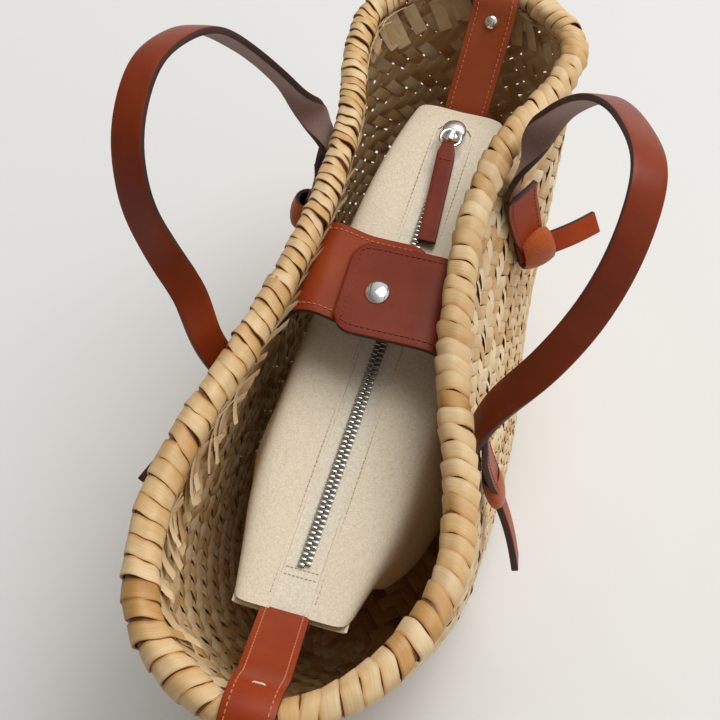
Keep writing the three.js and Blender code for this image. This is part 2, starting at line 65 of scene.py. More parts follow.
# A strand's width as a share of the pitch, by its place along the bag.
STRAND_COVERS = [(-80, 1.14), (-30, 1.05), (80, 1.03), (130, 0.95)]
STRAND_SECTION = [(-0.5, 0), (-0.3, 0.42), (0.02, 0.55), (0.32, 0.42), (0.5, 0), (0, -0.5)]
seeded = np.random.default_rng(11)


def linear(colour):
    """The linear colour of an sRGB hex value."""
    share = np.array([int(colour[i:i + 2], 16) for i in (1, 3, 5)]) / 255
    light = np.where(share <= 0.04045, share / 12.92, ((share + 0.055) / 1.055) ** 2.4)
    return (*light, 1)


def node(tree, kind, links=None, **settings):
    """One shader node: settings named after its sockets or its own options, links from other sockets."""
    made = tree.nodes.new("ShaderNode" + kind)
    for name, value in settings.items():
        socket = made.inputs.get(name.replace("_", " "))
        if hasattr(made, name) or socket is None:
            setattr(made, name, value)
        else:
            socket.default_value = value
    for name, source in (links or {}).items():
        tree.links.new(source, made.inputs[name])
    return made


def ramp(tree, source, stops):
    """A colour ramp from a socket, its stops given as place and hex colour."""
    made = node(tree, "ValToRGB", {"Fac": source})
    while len(made.color_ramp.elements) < len(stops):
        made.color_ramp.elements.new(1)
    for element, (place, colour) in zip(made.color_ramp.elements, stops):
        element.position = place
        element.color = linear(colour)
    return made.outputs["Color"]


def new_material(name):
    """An empty node material, and its tree and shader."""
    made = bpy.data.materials.new(name)
    made.use_nodes = True
    return made, made.node_tree, made.node_tree.nodes["Principled BSDF"]


def coat(tree, shader, source, stops, **settings):
    """Colours a shader by stops from a socket and sets its other inputs."""
    tree.links.new(ramp(tree, source, stops), shader.inputs["Base Color"])
    for name, value in settings.items():
        shader.inputs[name.replace("_", " ")].default_value = value


def emboss(tree, shader, height, strength, depth):
    """Gives a shader a relief from a socket, its depth in millimetres."""
    relief = node(tree, "Bump", {"Height": height}, Strength=strength, Distance=depth * MM)
    tree.links.new(relief.outputs[0], shader.inputs["Normal"])


# Dried leaf: a matt strip with a dry sheen, fine fibres along it, and each strand of its own shade, from pale
# straw to gold and brown. The map runs across and along each strand in millimetres.
FIBRE = 0.42
FIBRE_LENGTH = 16
BLOTCH = 9
STREAK_TONE = 0.34
BLOTCH_TONE = 0.26


def dried_leaf(name, stops):
    straw, tree, shader = new_material(name)
    tone = node(tree, "Attribute", attribute_name="tone").outputs["Fac"]
    strand = node(tree, "UVMap").outputs["UV"]
    fibres = node(tree, "Mapping", {"Vector": strand}, Scale=(1 / FIBRE, 1 / FIBRE_LENGTH, 1))
    streaks = node(tree, "TexNoise", {"Vector": fibres.outputs[0]}, Scale=1, Detail=3, Roughness=0.6)
    place = node(tree, "TexCoord").outputs["Object"]
    blotches = node(tree, "TexNoise", {"Vector": place}, Scale=1 / (BLOTCH * MM), Detail=2)
    drift = node(tree, "Math", {0: streaks.outputs["Fac"]}, operation="MULTIPLY_ADD")
    drift.inputs[1].default_value = STREAK_TONE
    tree.links.new(tone, drift.inputs[2])
    shade = node(tree, "Math", {0: blotches.outputs["Fac"], 2: drift.outputs[0]}, operation="MULTIPLY_ADD")
    shade.inputs[1].default_value = BLOTCH_TONE
    coat(tree, shader, shade.outputs[0], stops, Roughness=0.52, Specular_IOR_Level=0.42)
    emboss(tree, shader, streaks.outputs["Fac"], 0.35, 0.35)
    return straw


LEAF_SHADES = [(0.15, "#e6d0a9"), (0.4, "#cda976"), (0.62, "#b88749"), (0.85, "#8a5729"), (1, "#5c3a1b")]
plaited_leaf = dried_leaf("plaited dried leaf", LEAF_SHADES)


def ribbons(name, centre, across, up, section, material, tone, is_loop=False):
    """One mesh of many like bands. centre, across and up are arrays of band, step and xyz in millimetres, and
    section holds the corners as shares of across and up. tone is a shade for each band, step and corner."""
    section = np.array(section)
    corners = centre[:, :, None] + across[:, :, None] * section[:, :1] + up[:, :, None] * section[:, 1:]
    bands, steps, sides = corners.shape[:3]
    index = np.arange(bands * steps * sides).reshape(bands, steps, sides)
    start = index if is_loop else index[:, :-1]
    end = np.roll(index, -1, 1) if is_loop else index[:, 1:]
    faces = np.stack([start, np.roll(start, -1, 2), np.roll(end, -1, 2), end], -1).reshape(-1, 4).tolist()
    if not is_loop:
        faces += index[:, 0, ::-1].tolist() + index[:, -1].tolist()
    mesh = bpy.data.meshes.new(name)
    mesh.from_pydata((corners.reshape(-1, 3) * MM).tolist(), [], faces)
    hops = np.linalg.norm(np.diff(centre, axis=1, prepend=centre[:, :1]), axis=2)
    width = np.linalg.norm(across, axis=2)
    shift = np.arange(bands)[:, None, None] * MAP_SHIFT
    spot = np.zeros((bands, steps, sides, 2))
    spot[..., 0] = width[..., None] * section[:, 0] + shift
    spot[..., 1] = np.cumsum(hops, 1)[..., None] + shift
    corner_of = np.empty(len(mesh.loops), int)
    mesh.loops.foreach_get("vertex_index", corner_of)
    mesh.uv_layers.new().uv.foreach_set("vector", spot.reshape(-1, 2)[corner_of].ravel())
    shade = np.broadcast_to(tone, (bands, steps, sides))
    mesh.attributes.new("tone", "FLOAT", "POINT").data.foreach_set("value", shade.ravel().astype(np.float32))
    piece = bpy.data.objects.new(name, mesh)
    bpy.context.collection.objects.link(piece)
    mesh.materials.append(material)
    finish_faces(piece)
    return piece


def finish_faces(piece, angle=SMOOTH_ANGLE):
    """Turns every face of a piece outwards and shades it smooth up to an angle in degrees."""
    bpy.ops.object.select_all(action="DESELECT")
    bpy.context.view_layer.objects.active = piece
    piece.select_set(True)
    bpy.ops.object.mode_set(mode="EDIT")
    bpy.ops.mesh.select_all(action="SELECT")
    bpy.ops.mesh.normals_make_consistent(inside=False)
    bpy.ops.object.mode_set(mode="OBJECT")
    bpy.ops.object.shade_smooth_by_angle(angle=np.radians(angle))


def dress(piece, slot, *stands_for):
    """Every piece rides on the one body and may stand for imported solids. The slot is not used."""
    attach(piece, "root")
    if stands_for:
        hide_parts(*stands_for)


def rings(name):
    """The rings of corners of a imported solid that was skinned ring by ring, in order, in millimetres. The
    middle of an end cap is known by its count of edges."""
    shape = bmesh.new()
    shape.from_mesh(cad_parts[name].data)
    bmesh.ops.remove_doubles(shape, verts=shape.verts, dist=1e-6)
    ends = [vert for vert in shape.verts if len(vert.link_edges) not in RING_EDGES]
    cap = min(ends, key=lambda vert: vert.co.y + vert.co.z)
    around = [edge.other_vert(cap) for edge in cap.link_edges]
    ring = [around[0]]
    while len(ring) < len(around):
        beside = [edge.other_vert(ring[-1]) for edge in ring[-1].link_edges]
        ring.append(next(vert for vert in beside if vert in around and vert not in ring))
    found = []
    seen = {cap}
    while ring:
        found.append(np.array([vert.co for vert in ring]) / MM)
        seen.update(ring)
        ahead = []
        for vert, other in zip(ring, ring[1:] + ring[:1]):
            faces = [face for face in vert.link_faces if other in face.verts]
            ahead += [tip for face in faces for tip in face.verts if tip not in seen and tip not in ends]
        shifts = [ahead[turn:] + ahead[:turn] for turn in (0, -1)] if ahead else [[]]
        ring = min(shifts, key=lambda row: sum((a.co - b.co).length for a, b in zip(row, ring)))
    shape.free()
    return np.array(found)


def unit(vectors):
    """The vectors at length one."""
    return vectors / np.linalg.norm(vectors, axis=-1, keepdims=True)


def cubic(share):
    """Weights of four neighbours for a smooth curve through the middle two."""
    s = share[..., None]
    weights = [
        2 * s ** 2 - s - s ** 3,
        2 - 5 * s ** 2 + 3 * s ** 3,
        s + 4 * s ** 2 - 3 * s ** 3,
        s ** 3 - s ** 2,
    ]
    return np.concatenate(weights, -1) / 2


# The middle of the wall: level by level from the floor up, and round from the near end by the right side.
skins = rings("basket")
levels = len(skins) // 2
wall = (skins[:levels] + skins[:levels - 1:-1]) / 2
if np.cross(wall[-1, 0, :2], wall[-1, 1, :2]) < 0:
    wall = wall[:, ::-1]
wall = np.roll(wall, -wall[-1, :, 1].argmin(), 1)


def on_wall(turn, level):
    """Points in the middle of the wall at shares of a turn and at levels."""
    turn, level = np.broadcast_arrays(turn, level)
    spot = turn * wall.shape[1]
    column = np.floor(spot).astype(int)
    row = np.clip(np.floor(level).astype(int), 0, levels - 2)
    columns = (column[..., None] + np.arange(-1, 3)) % wall.shape[1]
    rows = np.clip(row[..., None] + np.arange(-1, 3), 0, levels - 1)
    near = wall[rows[..., :, None], columns[..., None, :]]
    return np.einsum("...a,...b,...abc->...c", cubic(level - row), cubic(spot - column), near)


def wall_out(turn, level):
    """The outward directions of the wall there."""
    step = 0.002
    round_wall = on_wall(turn + step, level) - on_wall(turn - step, level)
    up_wall = on_wall(turn, np.minimum(level + 10 * step, levels - 1)) - on_wall(turn, level - 10 * step)
    return unit(np.cross(round_wall, up_wall))


# How many strand rows a climb from the floor to each level makes.
fine = np.linspace(0, levels - 1, 200)
rings_up = on_wall(np.arange(360)[None] / 360, fine[:, None])
girth = np.linalg.norm(rings_up - np.roll(rings_up, 1, 1), axis=2).sum(1)
climb = np.linalg.norm(np.diff(rings_up, axis=0), axis=2).mean(1)
climbed = np.concatenate([[0], np.cumsum(climb / (girth[1:] * STRAND_CLIMB))])
row_count = 2 * STRANDS * climbed[-1]
steps = int(row_count * STEPS_A_ROW)
share_up = np.linspace(0, climbed[-1], steps)[None]
level_up = np.interp(share_up, climbed, fine)
pitch_up = np.interp(share_up, climbed, girth) / STRANDS * np.sin(np.arctan(STRAND_CLIMB))


def leaf_tones(shape, least, spread, *skew):
    """Random shades of leaf, most of them pale."""
    return least + seeded.beta(*skew, shape) * spread


def waves(least, most):
    """One wave up each strand, how often it goes to and fro and where it starts drawn at random."""
    return np.sin(share_up * seeded.uniform(least, most, (STRANDS, 1)) + seeded.uniform(0, 6, (STRANDS, 1)))


for name, hand, shade in (("strands_right", 1, -0.04), ("strands_left", -1, 0.0)):
    first = np.arange(STRANDS)[:, None] / STRANDS
    turn = first + hand * share_up + STRAND_WANDER * waves(150, 300)
    centre = on_wall(turn, level_up)
    out = wall_out(turn, level_up)
    ripple = np.clip(RIPPLE_FLATNESS * np.cos(np.pi / 2 * (2 * STRANDS * share_up - 0.5)), -1, 1)
    ripple = hand * STRAND_RIPPLE * ripple * seeded.uniform(0.85, 1.1, (STRANDS, 1))
    centre = centre + out * ripple[..., None]
    along = np.gradient(centre, axis=1)
    tilt = np.radians(seeded.normal(0, 5, (STRANDS, 1, 1)))
    across = unit(np.cross(out, along))
    cover = np.interp(centre[..., 1], *np.array(STRAND_COVERS).T)
    width = pitch_up * cover * seeded.uniform(0.94, 1.06, (STRANDS, 1))
    across_tilted = (np.cos(tilt) * across + np.sin(tilt) * out) * width[..., None]
    patches = PATCH_TONE * waves(300, 600)[..., None]
    tone = shade + leaf_tones((STRANDS, 1, 1), *STRAND_TONES) + patches
    tone = tone + np.zeros((STRANDS, steps, len(STRAND_SECTION)))
    tone[..., -1] += 0 if hand > 0 else BACK_TONE
    strands = ribbons(name, centre, across_tilted, out * STRAND_THICK, STRAND_SECTION, plaited_leaf, tone)
    dress(strands, "straw", *(["basket"] if hand > 0 else []))

# The floor's strands cross at right angles, cut where they meet the wall.
floor_middle = wall[0].mean(0)
floor_ways = unit(np.array([[1.0, 1, 0], [-1, 1, 0]]))
for name, hand in (("floor_strands_right", 1), ("floor_strands_left", -1)):
    way, side = floor_ways[::hand]
    edge = np.stack([(wall[0] - floor_middle) @ side, (wall[0] - floor_middle) @ way], 1)
    edge = np.append(edge, edge[:1], 0)
    row = np.arange(int(edge[:, 0].min() / FLOOR_PITCH), int(edge[:, 0].max() / FLOOR_PITCH) + 1)
    ends = []
    for place in row * FLOOR_PITCH:
        before = np.nonzero(np.diff(np.sign(edge[:, 0] - place)))[0]
        share = (place - edge[before, 0]) / (edge[before + 1, 0] - edge[before, 0])
        met = edge[before, 1] + share * (edge[before + 1, 1] - edge[before, 1])
        ends.append((met.min(), met.max()))
    run = np.linspace(*np.array(ends).T, FLOOR_STEPS, axis=1)
    centre = floor_middle + row[:, None, None] * FLOOR_PITCH * side + run[..., None] * way
    crossed = hand * (run / FLOOR_PITCH - row[:, None])
    centre[..., 2] += hand * STRAND_RIPPLE * np.cos(np.pi / 2 * (crossed - 0.5))
    across = np.broadcast_to(side * FLOOR_PITCH * FLOOR_COVER, centre.shape)
    up = np.broadcast_to([0, 0, STRAND_THICK], centre.shape)
    tone = leaf_tones((len(row), 1, 1), *FLOOR_TONES)
    dress(ribbons(name, centre, across, up, STRAND_SECTION, plaited_leaf, tone), "straw")

# Rim roll
# A bundle of leaf round the mouth, bound on the wall's top edge with flat strips. Each strip goes once round
# at a slant with its edge tucked under the next. They are broad at the near end and narrow at the far end.
# The strips' pitch by shares of a turn, which go from the near end by the right side.
WRAP_PITCHES = [
    (0, 8.8), (0.1, 8.4), (0.25, 8.4), (0.34, 7.6), (0.4, 6), (0.45, 4.8), (0.6, 4.5), (0.68, 5.2), (0.75, 6),
    (0.8, 7.6), (0.86, 9), (1, 8.8),
]
WRAP_STEPS = 28
WRAP_SLANT = 2.3
WRAP_SLIP = 0.3
WRAP_TILT = 0.075
WRAP_SINK = 0.35
WRAP_LIFT = 0.18
LONG_WAVE = 0.3
SHORT_WAVE = 0.2
KINK_REACH = 0.9
WRAP_TONES = (-0.03, 0.36, 1.4, 4)
# The strips' under and tucked edges are toned darker: painted shade where each dives under the next.
WRAP_TUCK_SHADE_TONES = np.array([0.7, 0.3, 0.06, 0, 0.12, 0.7])
WRAP_SECTION = [(-0.5, -0.9), (-0.49, -0.3), (-0.3, -0.05), (0.36, 0.42), (0.5, 0.4), (0.52, -0.9)]
# The roll's share of its packed radius by shares of a turn.
ROLL_SHARES = [
    (0, 1), (0.2, 0.97), (0.3, 0.92), (0.4, 0.86), (0.5, 0.82), (0.65, 0.78), (0.72, 0.84), (0.8, 0.92),
    (0.88, 1), (1, 1),
]
# Where a few strips are darker or paler, by how much and how many.
STAINED_WRAPS = [(-56, -171, 0.24, 2), (57, -147, 0.24, 2), (53, -156, -0.14, 1), (-12, 184, 0.2, 3)]
CORE_INSET = 1
CORE_STEPS = 216
# The core is a bundle of leaf, toned darker than the strips as painted shade in the gaps between them.
CORE_TONE = 0.62
low, high = (np.array(corner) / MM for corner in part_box("rim_roll"))
roll_radius = (high[2] - low[2]) / 2
roll_height = (high[2] + low[2]) / 2
mouth_girth = girth[-1]


def on_roll(turn, angle, reach):
    """Points round the roll at shares of a turn, at angles from outwards over the top and at a reach from its
    middle, with the directions there out of the roll and along it."""
    step = 0.001
    top_level = levels - 1.0
    middle = on_wall(turn, top_level)
    middle[..., 2] = roll_height
    ahead = on_wall(turn + step, top_level) - on_wall(turn - step, top_level)
    out = np.cross(unit(ahead), [0, 0, 1])
    spoke = np.cos(angle)[..., None] * out + np.sin(angle)[..., None] * np.array([0, 0, 1])
    return middle + spoke * np.broadcast_to(reach, turn.shape)[..., None], spoke, unit(ahead)


wrap_turns = [0.0]
while wrap_turns[-1] < 1:
    pitch = np.interp(wrap_turns[-1], *np.array(WRAP_PITCHES).T)
    wrap_turns.append(wrap_turns[-1] + pitch / mouth_girth)
wrap_turns = np.array(wrap_turns) / wrap_turns[-1]
wrap_widths = np.diff(wrap_turns)[:, None] * mouth_girth
wraps = len(wrap_widths)
angle = np.linspace(0, 2 * np.pi, WRAP_STEPS, endpoint=False) + np.zeros((wraps, 1))
slant = WRAP_SLANT * seeded.normal(1, 0.3, (wraps, 1))
kink_place = seeded.normal(np.pi / 2, 0.5, (wraps, 1))
from_kink = np.abs((angle - kink_place + np.pi) % (2 * np.pi) - np.pi)
kink = seeded.uniform(0.3, 1.7, (wraps, 1)) * np.clip(1 - from_kink / KINK_REACH, 0, 1)
slip = seeded.normal(0, WRAP_SLIP, (wraps, 1)) - slant * np.cos(angle) + kink
turn = wrap_turns[:-1, None] + slip / mouth_girth
uneven = LONG_WAVE * np.sin(2 * angle + seeded.uniform(0, 6, (wraps, 1)))
short_wave = SHORT_WAVE * np.sin(5 * angle + seeded.uniform(0, 6, (wraps, 1)))
uneven += short_wave + seeded.normal(0, WRAP_LIFT, (wraps, 1))
roll_share = np.interp(turn % 1, *np.array(ROLL_SHARES).T)
wrap_reach = roll_radius - WRAP_SINK
centre, spoke, ahead = on_roll(turn, angle, wrap_reach * roll_share + uneven)
width = wrap_widths * seeded.uniform(0.92, 1.04, (wraps, 1))
tone = leaf_tones(wraps, *WRAP_TONES)
roll_line = on_roll(wrap_turns[:-1], np.zeros(wraps), 0)[0]
for x, y, stain, count in STAINED_WRAPS:
    nearest = np.hypot(roll_line[:, 0] - x, roll_line[:, 1] - y).argsort()[:count]
    tone[nearest] += stain * seeded.uniform(0.6, 1, count)
tone = tone[:, None, None] + WRAP_TUCK_SHADE_TONES
across = (ahead + spoke * seeded.normal(0, WRAP_TILT, (wraps, 1, 1))) * width[..., None]
wrap_strips = ribbons("rim_wraps", centre, across, spoke, WRAP_SECTION, plaited_leaf, tone, True)
dress(wrap_strips, "straw", "rim_roll")

turn = np.linspace(0, 1, CORE_STEPS, endpoint=False)[None]
core_line, out, _ = on_roll(turn, np.zeros((1, CORE_STEPS)), 0)
corner_angles = np.linspace(0, 2 * np.pi, 12, endpoint=False)
round_section = [(np.cos(a), np.sin(a)) for a in corner_angles]
core_reach = (wrap_reach * np.interp(turn, *np.array(ROLL_SHARES).T) - CORE_INSET)[..., None]
core_up = core_reach * [0, 0, 1]
core = ribbons("rim_core", core_line, out * core_reach, core_up, round_section, plaited_leaf, CORE_TONE, True)
dress(core, "straw")

# Leaf ends under the roll
# The strands' ends come out under the roll on the inside and are left as flat ends and thin slivers.
# In each row: how many, where round the mouth, how far they slip along and fall as shares of their length,
# their widths and lengths, and how far their tips stand off the wall.
LEAF_ENDS = [
    (40, (0.47, 0.66), (-0.6, -0.3), (0.8, 1), (4.5, 7.5), (14, 28), (1, 5)),
    (52, (0.64, 0.9), (-1, -0.75), (0.25, 0.55), (4, 7), (16, 30), (1, 6)),
    (60, (0.8, 0.99), (0.5, 1), (0.35, 0.8), (5, 8), (24, 42), (2, 10)),
    (30, (0.82, 0.99), (-0.9, 0.3), (0.5, 0.95), (4, 7), (18, 34), (2, 8)),
    (14, (0.02, 0.12), (-0.6, 0.6), (0.5, 0.9), (4, 7), (12, 22), (2, 6)),
    (16, (0.36, 0.47), (-0.2, 0.5), (0.8, 1), (4.5, 7.5), (12, 26), (1, 5)),
]
END_STEPS = 6
END_THICK = 0.6
END_DROP = 4.5
END_INWARD = 2.6
END_CURL = 3.4
END_TONES = (-0.1, 0.4, 1.5, 4)
END_LEVEL = levels - 1.5
# The slivers: the first of them close together at the near left, the rest all round.
SLIVERS = 70
CLOSE_SLIVERS = 40
CLOSE_TURNS = (0.78, 1.1)
SLIVER_INWARD = 5.6
SLIVER_LEAN = 0.32
# How far below the roll's middle they begin and fall, their shifts and tips off the wall, and their widths.
SLIVER_RANGES = [(3.5, 6.5), (-1, 9), (-0.8, 1), (0, 2.5), (0.7, 2)]
END_SECTION = [(-0.5, 0), (-0.2, 0.4), (0.2, 0.4), (0.5, 0), (0.2, -0.4), (-0.2, -0.4)]


def under_roll(turn, drop, inward):
    """Points inside the wall, below the roll's middle by a drop and inward from the middle of the wall."""
    level = np.interp(roll_height - drop, wall[:, 0, 2], np.arange(levels))
    point = on_wall(turn, level) - wall_out(turn, level) * inward[..., None]
    point[..., 2] = roll_height - drop
    return point


def across_ends(line, turn):
    """The directions across leaf ends that lie flat along the wall."""
    out = wall_out(turn, np.full(turn.shape, END_LEVEL))
    return unit(np.cross(out, unit(np.gradient(line, axis=1))))


share = np.linspace(0, 1, END_STEPS)[None]
drawn = [seeded.uniform(*np.array(ranges).T, (count, 6)) for count, *ranges in LEAF_ENDS]
start, slip, fall, broad, length, stand = np.concatenate(drawn).T[..., None]
turn = start + share * length * slip / mouth_girth
inward = END_INWARD + END_CURL * (1 - share) ** 2 + stand * share ** 1.5
ends_line = under_roll(turn, END_DROP + share * length * fall, inward)
ends_across = across_ends(ends_line, turn) * broad[..., None]
start = [seeded.uniform(*CLOSE_TURNS, CLOSE_SLIVERS), seeded.uniform(0, 1, SLIVERS - CLOSE_SLIVERS)]
start = np.concatenate(start)[:, None]
length = seeded.uniform(10, 30, (SLIVERS, 1))
turn = start + share * length * seeded.choice([-1, 1], (SLIVERS, 1)) / mouth_girth
begin, fall, shift, stand, broad = (seeded.uniform(*pair, (SLIVERS, 1)) for pair in SLIVER_RANGES)
drop = begin + share * fall
inward = SLIVER_INWARD + shift - np.clip(drop - 5, 0, 9) * SLIVER_LEAN + share ** 2 * stand
slivers_line = under_roll(turn, drop, inward)
slivers_across = across_ends(slivers_line, turn) * broad[..., None]
centre = np.concatenate([ends_line, slivers_line])
across = np.concatenate([ends_across, slivers_across])
up = unit(np.cross(across, np.gradient(centre, axis=1))) * END_THICK
tone = leaf_tones((len(centre), 1, 1), *END_TONES)
dress(ribbons("rim_leaf_ends", centre, across, up, END_SECTION, plaited_leaf, tone), "straw")

# Handles
# Each handle is one strap of cowhide standing up in a loop, smooth face out, suede face in, with dark painted
# edges. Its ends hang down outside the wall under the ties.
HANDLE_THICK = 3.2
HANDLE_MIDDLE = 28
STRAP_CROWN = 0.3
STRAP_SMOOTH = 35
EDGE_ROUND = 0.55
HIDE_GRAIN = 0.9
HIDE_CLOUD = 38
NAP = 0.5


# Cowhide: semi-matt with a fine pebbled grain, a soft gloss and slow clouds of darker dye.
def cowhide(name, dark, light, roughness, gloss):
    hide, tree, shader = new_material(name)
    place = node(tree, "TexCoord").outputs["Object"]
    clouds = node(tree, "TexNoise", {"Vector": place}, Scale=1 / (HIDE_CLOUD * MM), Detail=4, Roughness=0.6)
    stops = [(0.3, dark), (0.7, light)]
    coat(tree, shader, clouds.outputs["Fac"], stops, Roughness=roughness, Specular_IOR_Level=gloss)
    pebbles = node(tree, "TexVoronoi", {"Vector": place}, Scale=1 / (HIDE_GRAIN * MM), feature="SMOOTH_F1")
    emboss(tree, shader, pebbles.outputs["Distance"], 0.16, 0.2)
    return hide


# Suede: the matt flesh side, with a short nap that shows as a fine mottle and a weak sheen.
def suede(name, dark, light):
    nap_side, tree, shader = new_material(name)
    place = node(tree, "TexCoord").outputs["Object"]
    noise = node(tree, "TexNoise", {"Vector": place}, Scale=1 / (NAP * MM), Detail=3, Roughness=0.7)
    nap = noise.outputs["Fac"]
    stops = [(0.32, dark), (0.66, light)]
    coat(tree, shader, nap, stops, Roughness=0.9, Specular_IOR_Level=0.2, Sheen_Weight=0.25)
    emboss(tree, shader, nap, 0.4, 0.3)
    return nap_side


tan_hide = cowhide("tan cowhide", "#842a09", "#9b3c12", 0.42, 0.18)
# The far end strap's hide is the same tan leather painted paler: a painted sheen.
sheen_painted_hide = cowhide("tan cowhide with painted sheen", "#95401f", "#ac5530", 0.5, 0.3)
# The handles' hide is the same tan leather painted darker: painted shade.
shade_painted_handle_hide = cowhide("tan cowhide with painted shade", "#6e250a", "#82310d", 0.42, 0.24)
maroon_hide = cowhide("maroon cowhide", "#692511", "#7b321b", 0.46, 0.14)
edge_paint = cowhide("dark painted leather edge", "#33201c", "#472c26", 0.5, 0.2)
mauve_suede = suede("mauve flesh side", "#7a5c53", "#94766b")
STRAP_FINISH = (shade_painted_handle_hide, edge_paint, mauve_suede)


def strip_of(name, way, ring):
    """The middle, the whole width and the face direction along a packed strip, in nine columns, with its
    face the given way at one ring."""
    corners = rings(name)
    sides = np.linalg.norm(corners[0, 1] - corners[0, 0]), np.linalg.norm(corners[0, 2] - corners[0, 1])
    if sides[0] < sides[1]:
        corners = np.roll(corners, 1, 1)
    upper, lower = corners[:, :2].mean(1), corners[:, 2:].mean(1)
    face = unit(upper - lower)
    across = (corners[:, 1] - corners[:, 0] + corners[:, 2] - corners[:, 3]) / 2
    return facing(np.hstack([(upper + lower) / 2, across, face * np.sign(face[ring] @ np.array(way))]))


def facing(line):
    """The strip with its width turned so that width, run and face are right-handed."""
    run = np.gradient(line[:, :3], axis=0)
    turned = np.sign((np.cross(line[:, 3:6], run) * line[:, 6:]).sum())
    return np.hstack([line[:, :3], line[:, 3:6] * turned, line[:, 6:]])


def reached(line):
    """How far along a line each of its points lies."""
    return np.concatenate([[0], np.cumsum(np.linalg.norm(np.diff(line[:, :3], axis=0), axis=1))])


def soften(line, passes):
    """Draws the inner points of a line towards their neighbours, in place."""
    for _ in range(passes):
        line[1:-1] = (line[:-2] + 2 * line[1:-1] + line[2:]) / 4
    return line


def even(line, count, passes=3):
    """The line again in evenly spaced, slightly softened points."""
    reach = reached(line)
    spots = np.linspace(0, reach[-1], count)
    return soften(np.stack([np.interp(spots, reach, column) for column in line.T], 1), passes)


def added(name):
    """The object that was just added, under its name."""
    piece = bpy.context.object
    piece.name = piece.data.name = name
    return piece


def corners_of(piece):
    """The corners of a piece as they stand."""
    flat = np.empty(3 * len(piece.data.vertices))
    piece.data.vertices.foreach_get("co", flat)
    return flat.reshape(-1, 3)


def set_corners(piece, points):
    """Moves the corners of a piece to points in millimetres."""
    piece.data.vertices.foreach_set("co", (points * MM).ravel())


def laid(name, points, materials):
    """A flat grid laid on an array of points, rows along and columns across."""
    rows, columns = points.shape[:2]
    bpy.ops.mesh.primitive_grid_add(x_subdivisions=columns - 1, y_subdivisions=rows - 1, size=1)
    piece = added(name)
    spot = np.rint((corners_of(piece)[:, :2] + 0.5) * [columns - 1, rows - 1]).astype(int)
    set_corners(piece, points[spot[:, 1], spot[:, 0]])
    for material in materials:
        piece.data.materials.append(material)
    return piece


def thicken(piece, thick, edge, offset=0):
    """Gives a sheet its thickness, with the edge's and the back's own materials, and rounds its edges."""
    solid = piece.modifiers.new("thickness", "SOLIDIFY")
    solid.thickness = thick * MM
    solid.offset = offset
    solid.material_offset_rim = 1
    solid.material_offset = 2
    soft = piece.modifiers.new("rounded edge", "BEVEL")
    soft.width = edge * MM
    soft.segments = 2
    soft.limit_method = "ANGLE"
    soft.angle_limit = np.radians(50)
    bpy.context.view_layer.objects.active = piece
    bpy.ops.object.modifier_apply(modifier=solid.name)
    bpy.ops.object.modifier_apply(modifier=soft.name)
    bpy.ops.object.shade_smooth_by_angle(angle=np.radians(STRAP_SMOOTH))


def strap(name, line, thick, materials, columns=7, crown=0.0):
    """A leather strap along a strip's line, a little crowned across its face."""
    share = np.linspace(-0.5, 0.5, columns)[:, None]
    across = line[:, None, 3:6] * share
    lift = unit(line[:, None, 6:]) * crown * (1 - 4 * share ** 2)
    piece = laid(name, line[:, None, :3] + across + lift, materials)
    thicken(piece, thick, EDGE_ROUND)
    return piece


for name in ("handle_left", "handle_right"):
    handle_line = even(strip_of(name, (0, 0, 1), HANDLE_MIDDLE), 120)
    dress(strap(name + "_strap", handle_line, HANDLE_THICK, STRAP_FINISH, crown=STRAP_CROWN), "leather", name)

# Ties
# Over each handle end a leather band is sewn on the outer wall, and its narrow end is knotted below: a
# suede-faced turn round a free tail. The stitches run in from the band's edges.
BAND_THICK = 3
BAND_CROWN = 0.5
BAND_SEAM = 2.4
BAND_THREAD_LIFT = 0.2
BAND_STITCH = (3, 0.6)
# The band's heights, how far it stands off the wall there, and its widths.
BAND_STOPS = [(182, 8.7, 20), (172, 6.8, 20), (162, 6.5, 20), (153, 6.5, 19), (142, 7.5, 16)]
KNOT_HEIGHT = 138
KNOT_WIDTH = 14.5
KNOT_HALF_HEIGHT = 10.6
KNOT_WALL = 2.4
KNOT_GAP = 0.9
KNOT_ROUND = 0.7
KNOT_INSET = 0.2
TAIL_WIDTH = 11
TAIL_THICK = 3.4
TAIL_BOW = 1.5
TAIL_HIDDEN = 0.25
WALL_HALF = 1.5
SIDE_TURNS = (0.03, 0.47)
# Four stops along a stitch as shares of the spacing, and their heights as shares of its thickness.
STITCH_STOPS = np.array([0, 0.1, 0.6, 0.7])
STITCH_RISES = np.array([-0.45, 0.2, 0.2, -0.45])
THREAD_SECTION = [(0.5, 0), (0.25, 0.43), (-0.25, 0.43), (-0.5, 0), (-0.25, -0.43), (0.25, -0.43)]
# Each tie: its name, side and place along the bag, its knot's shift along and half depth, how far its tail
# goes along, out and up, how much the tail's face is turned up, the band's tilt and the knot's size.
TIES = [
    ("tie_left_far", -1, 81, -6, 8, (-14, 4, -34), 0.2, 0, 1),
    ("tie_left_near", -1, -48, 0, 6.8, (-40, 18, -16), 0.2, 0, 1),
    ("tie_right_far", 1, 83, 0, 7.8, (25, 24, 2), 0.9, 20, 1.16),
    ("tie_right_near", 1, -52, 0, 5.2, (-17, 13, -50), 0.2, 0, 1),
]
UP = np.array([0, 0, 1])
orange_suede = suede("orange flesh side", "#8c3a14", "#b45a27")
TIE_FINISH = (tan_hide, edge_paint, orange_suede)


# Waxed thread: two plies that show as slanted light and dark along each stitch.
def waxed_thread(name, dark, light):
    thread, tree, shader = new_material(name)
    run = node(tree, "UVMap").outputs["UV"]
    plies = node(tree, "TexWave", {"Vector": run}, Scale=1.2, Distortion=1, bands_direction="DIAGONAL")
    coat(tree, shader, plies.outputs["Fac"], [(0.2, dark), (0.8, light)], Roughness=0.55)
    return thread


dark_thread = waxed_thread("dark red waxed thread", "#571a10", "#86321f")
orange_thread = waxed_thread("orange waxed thread", "#a8542c", "#d98a5a")


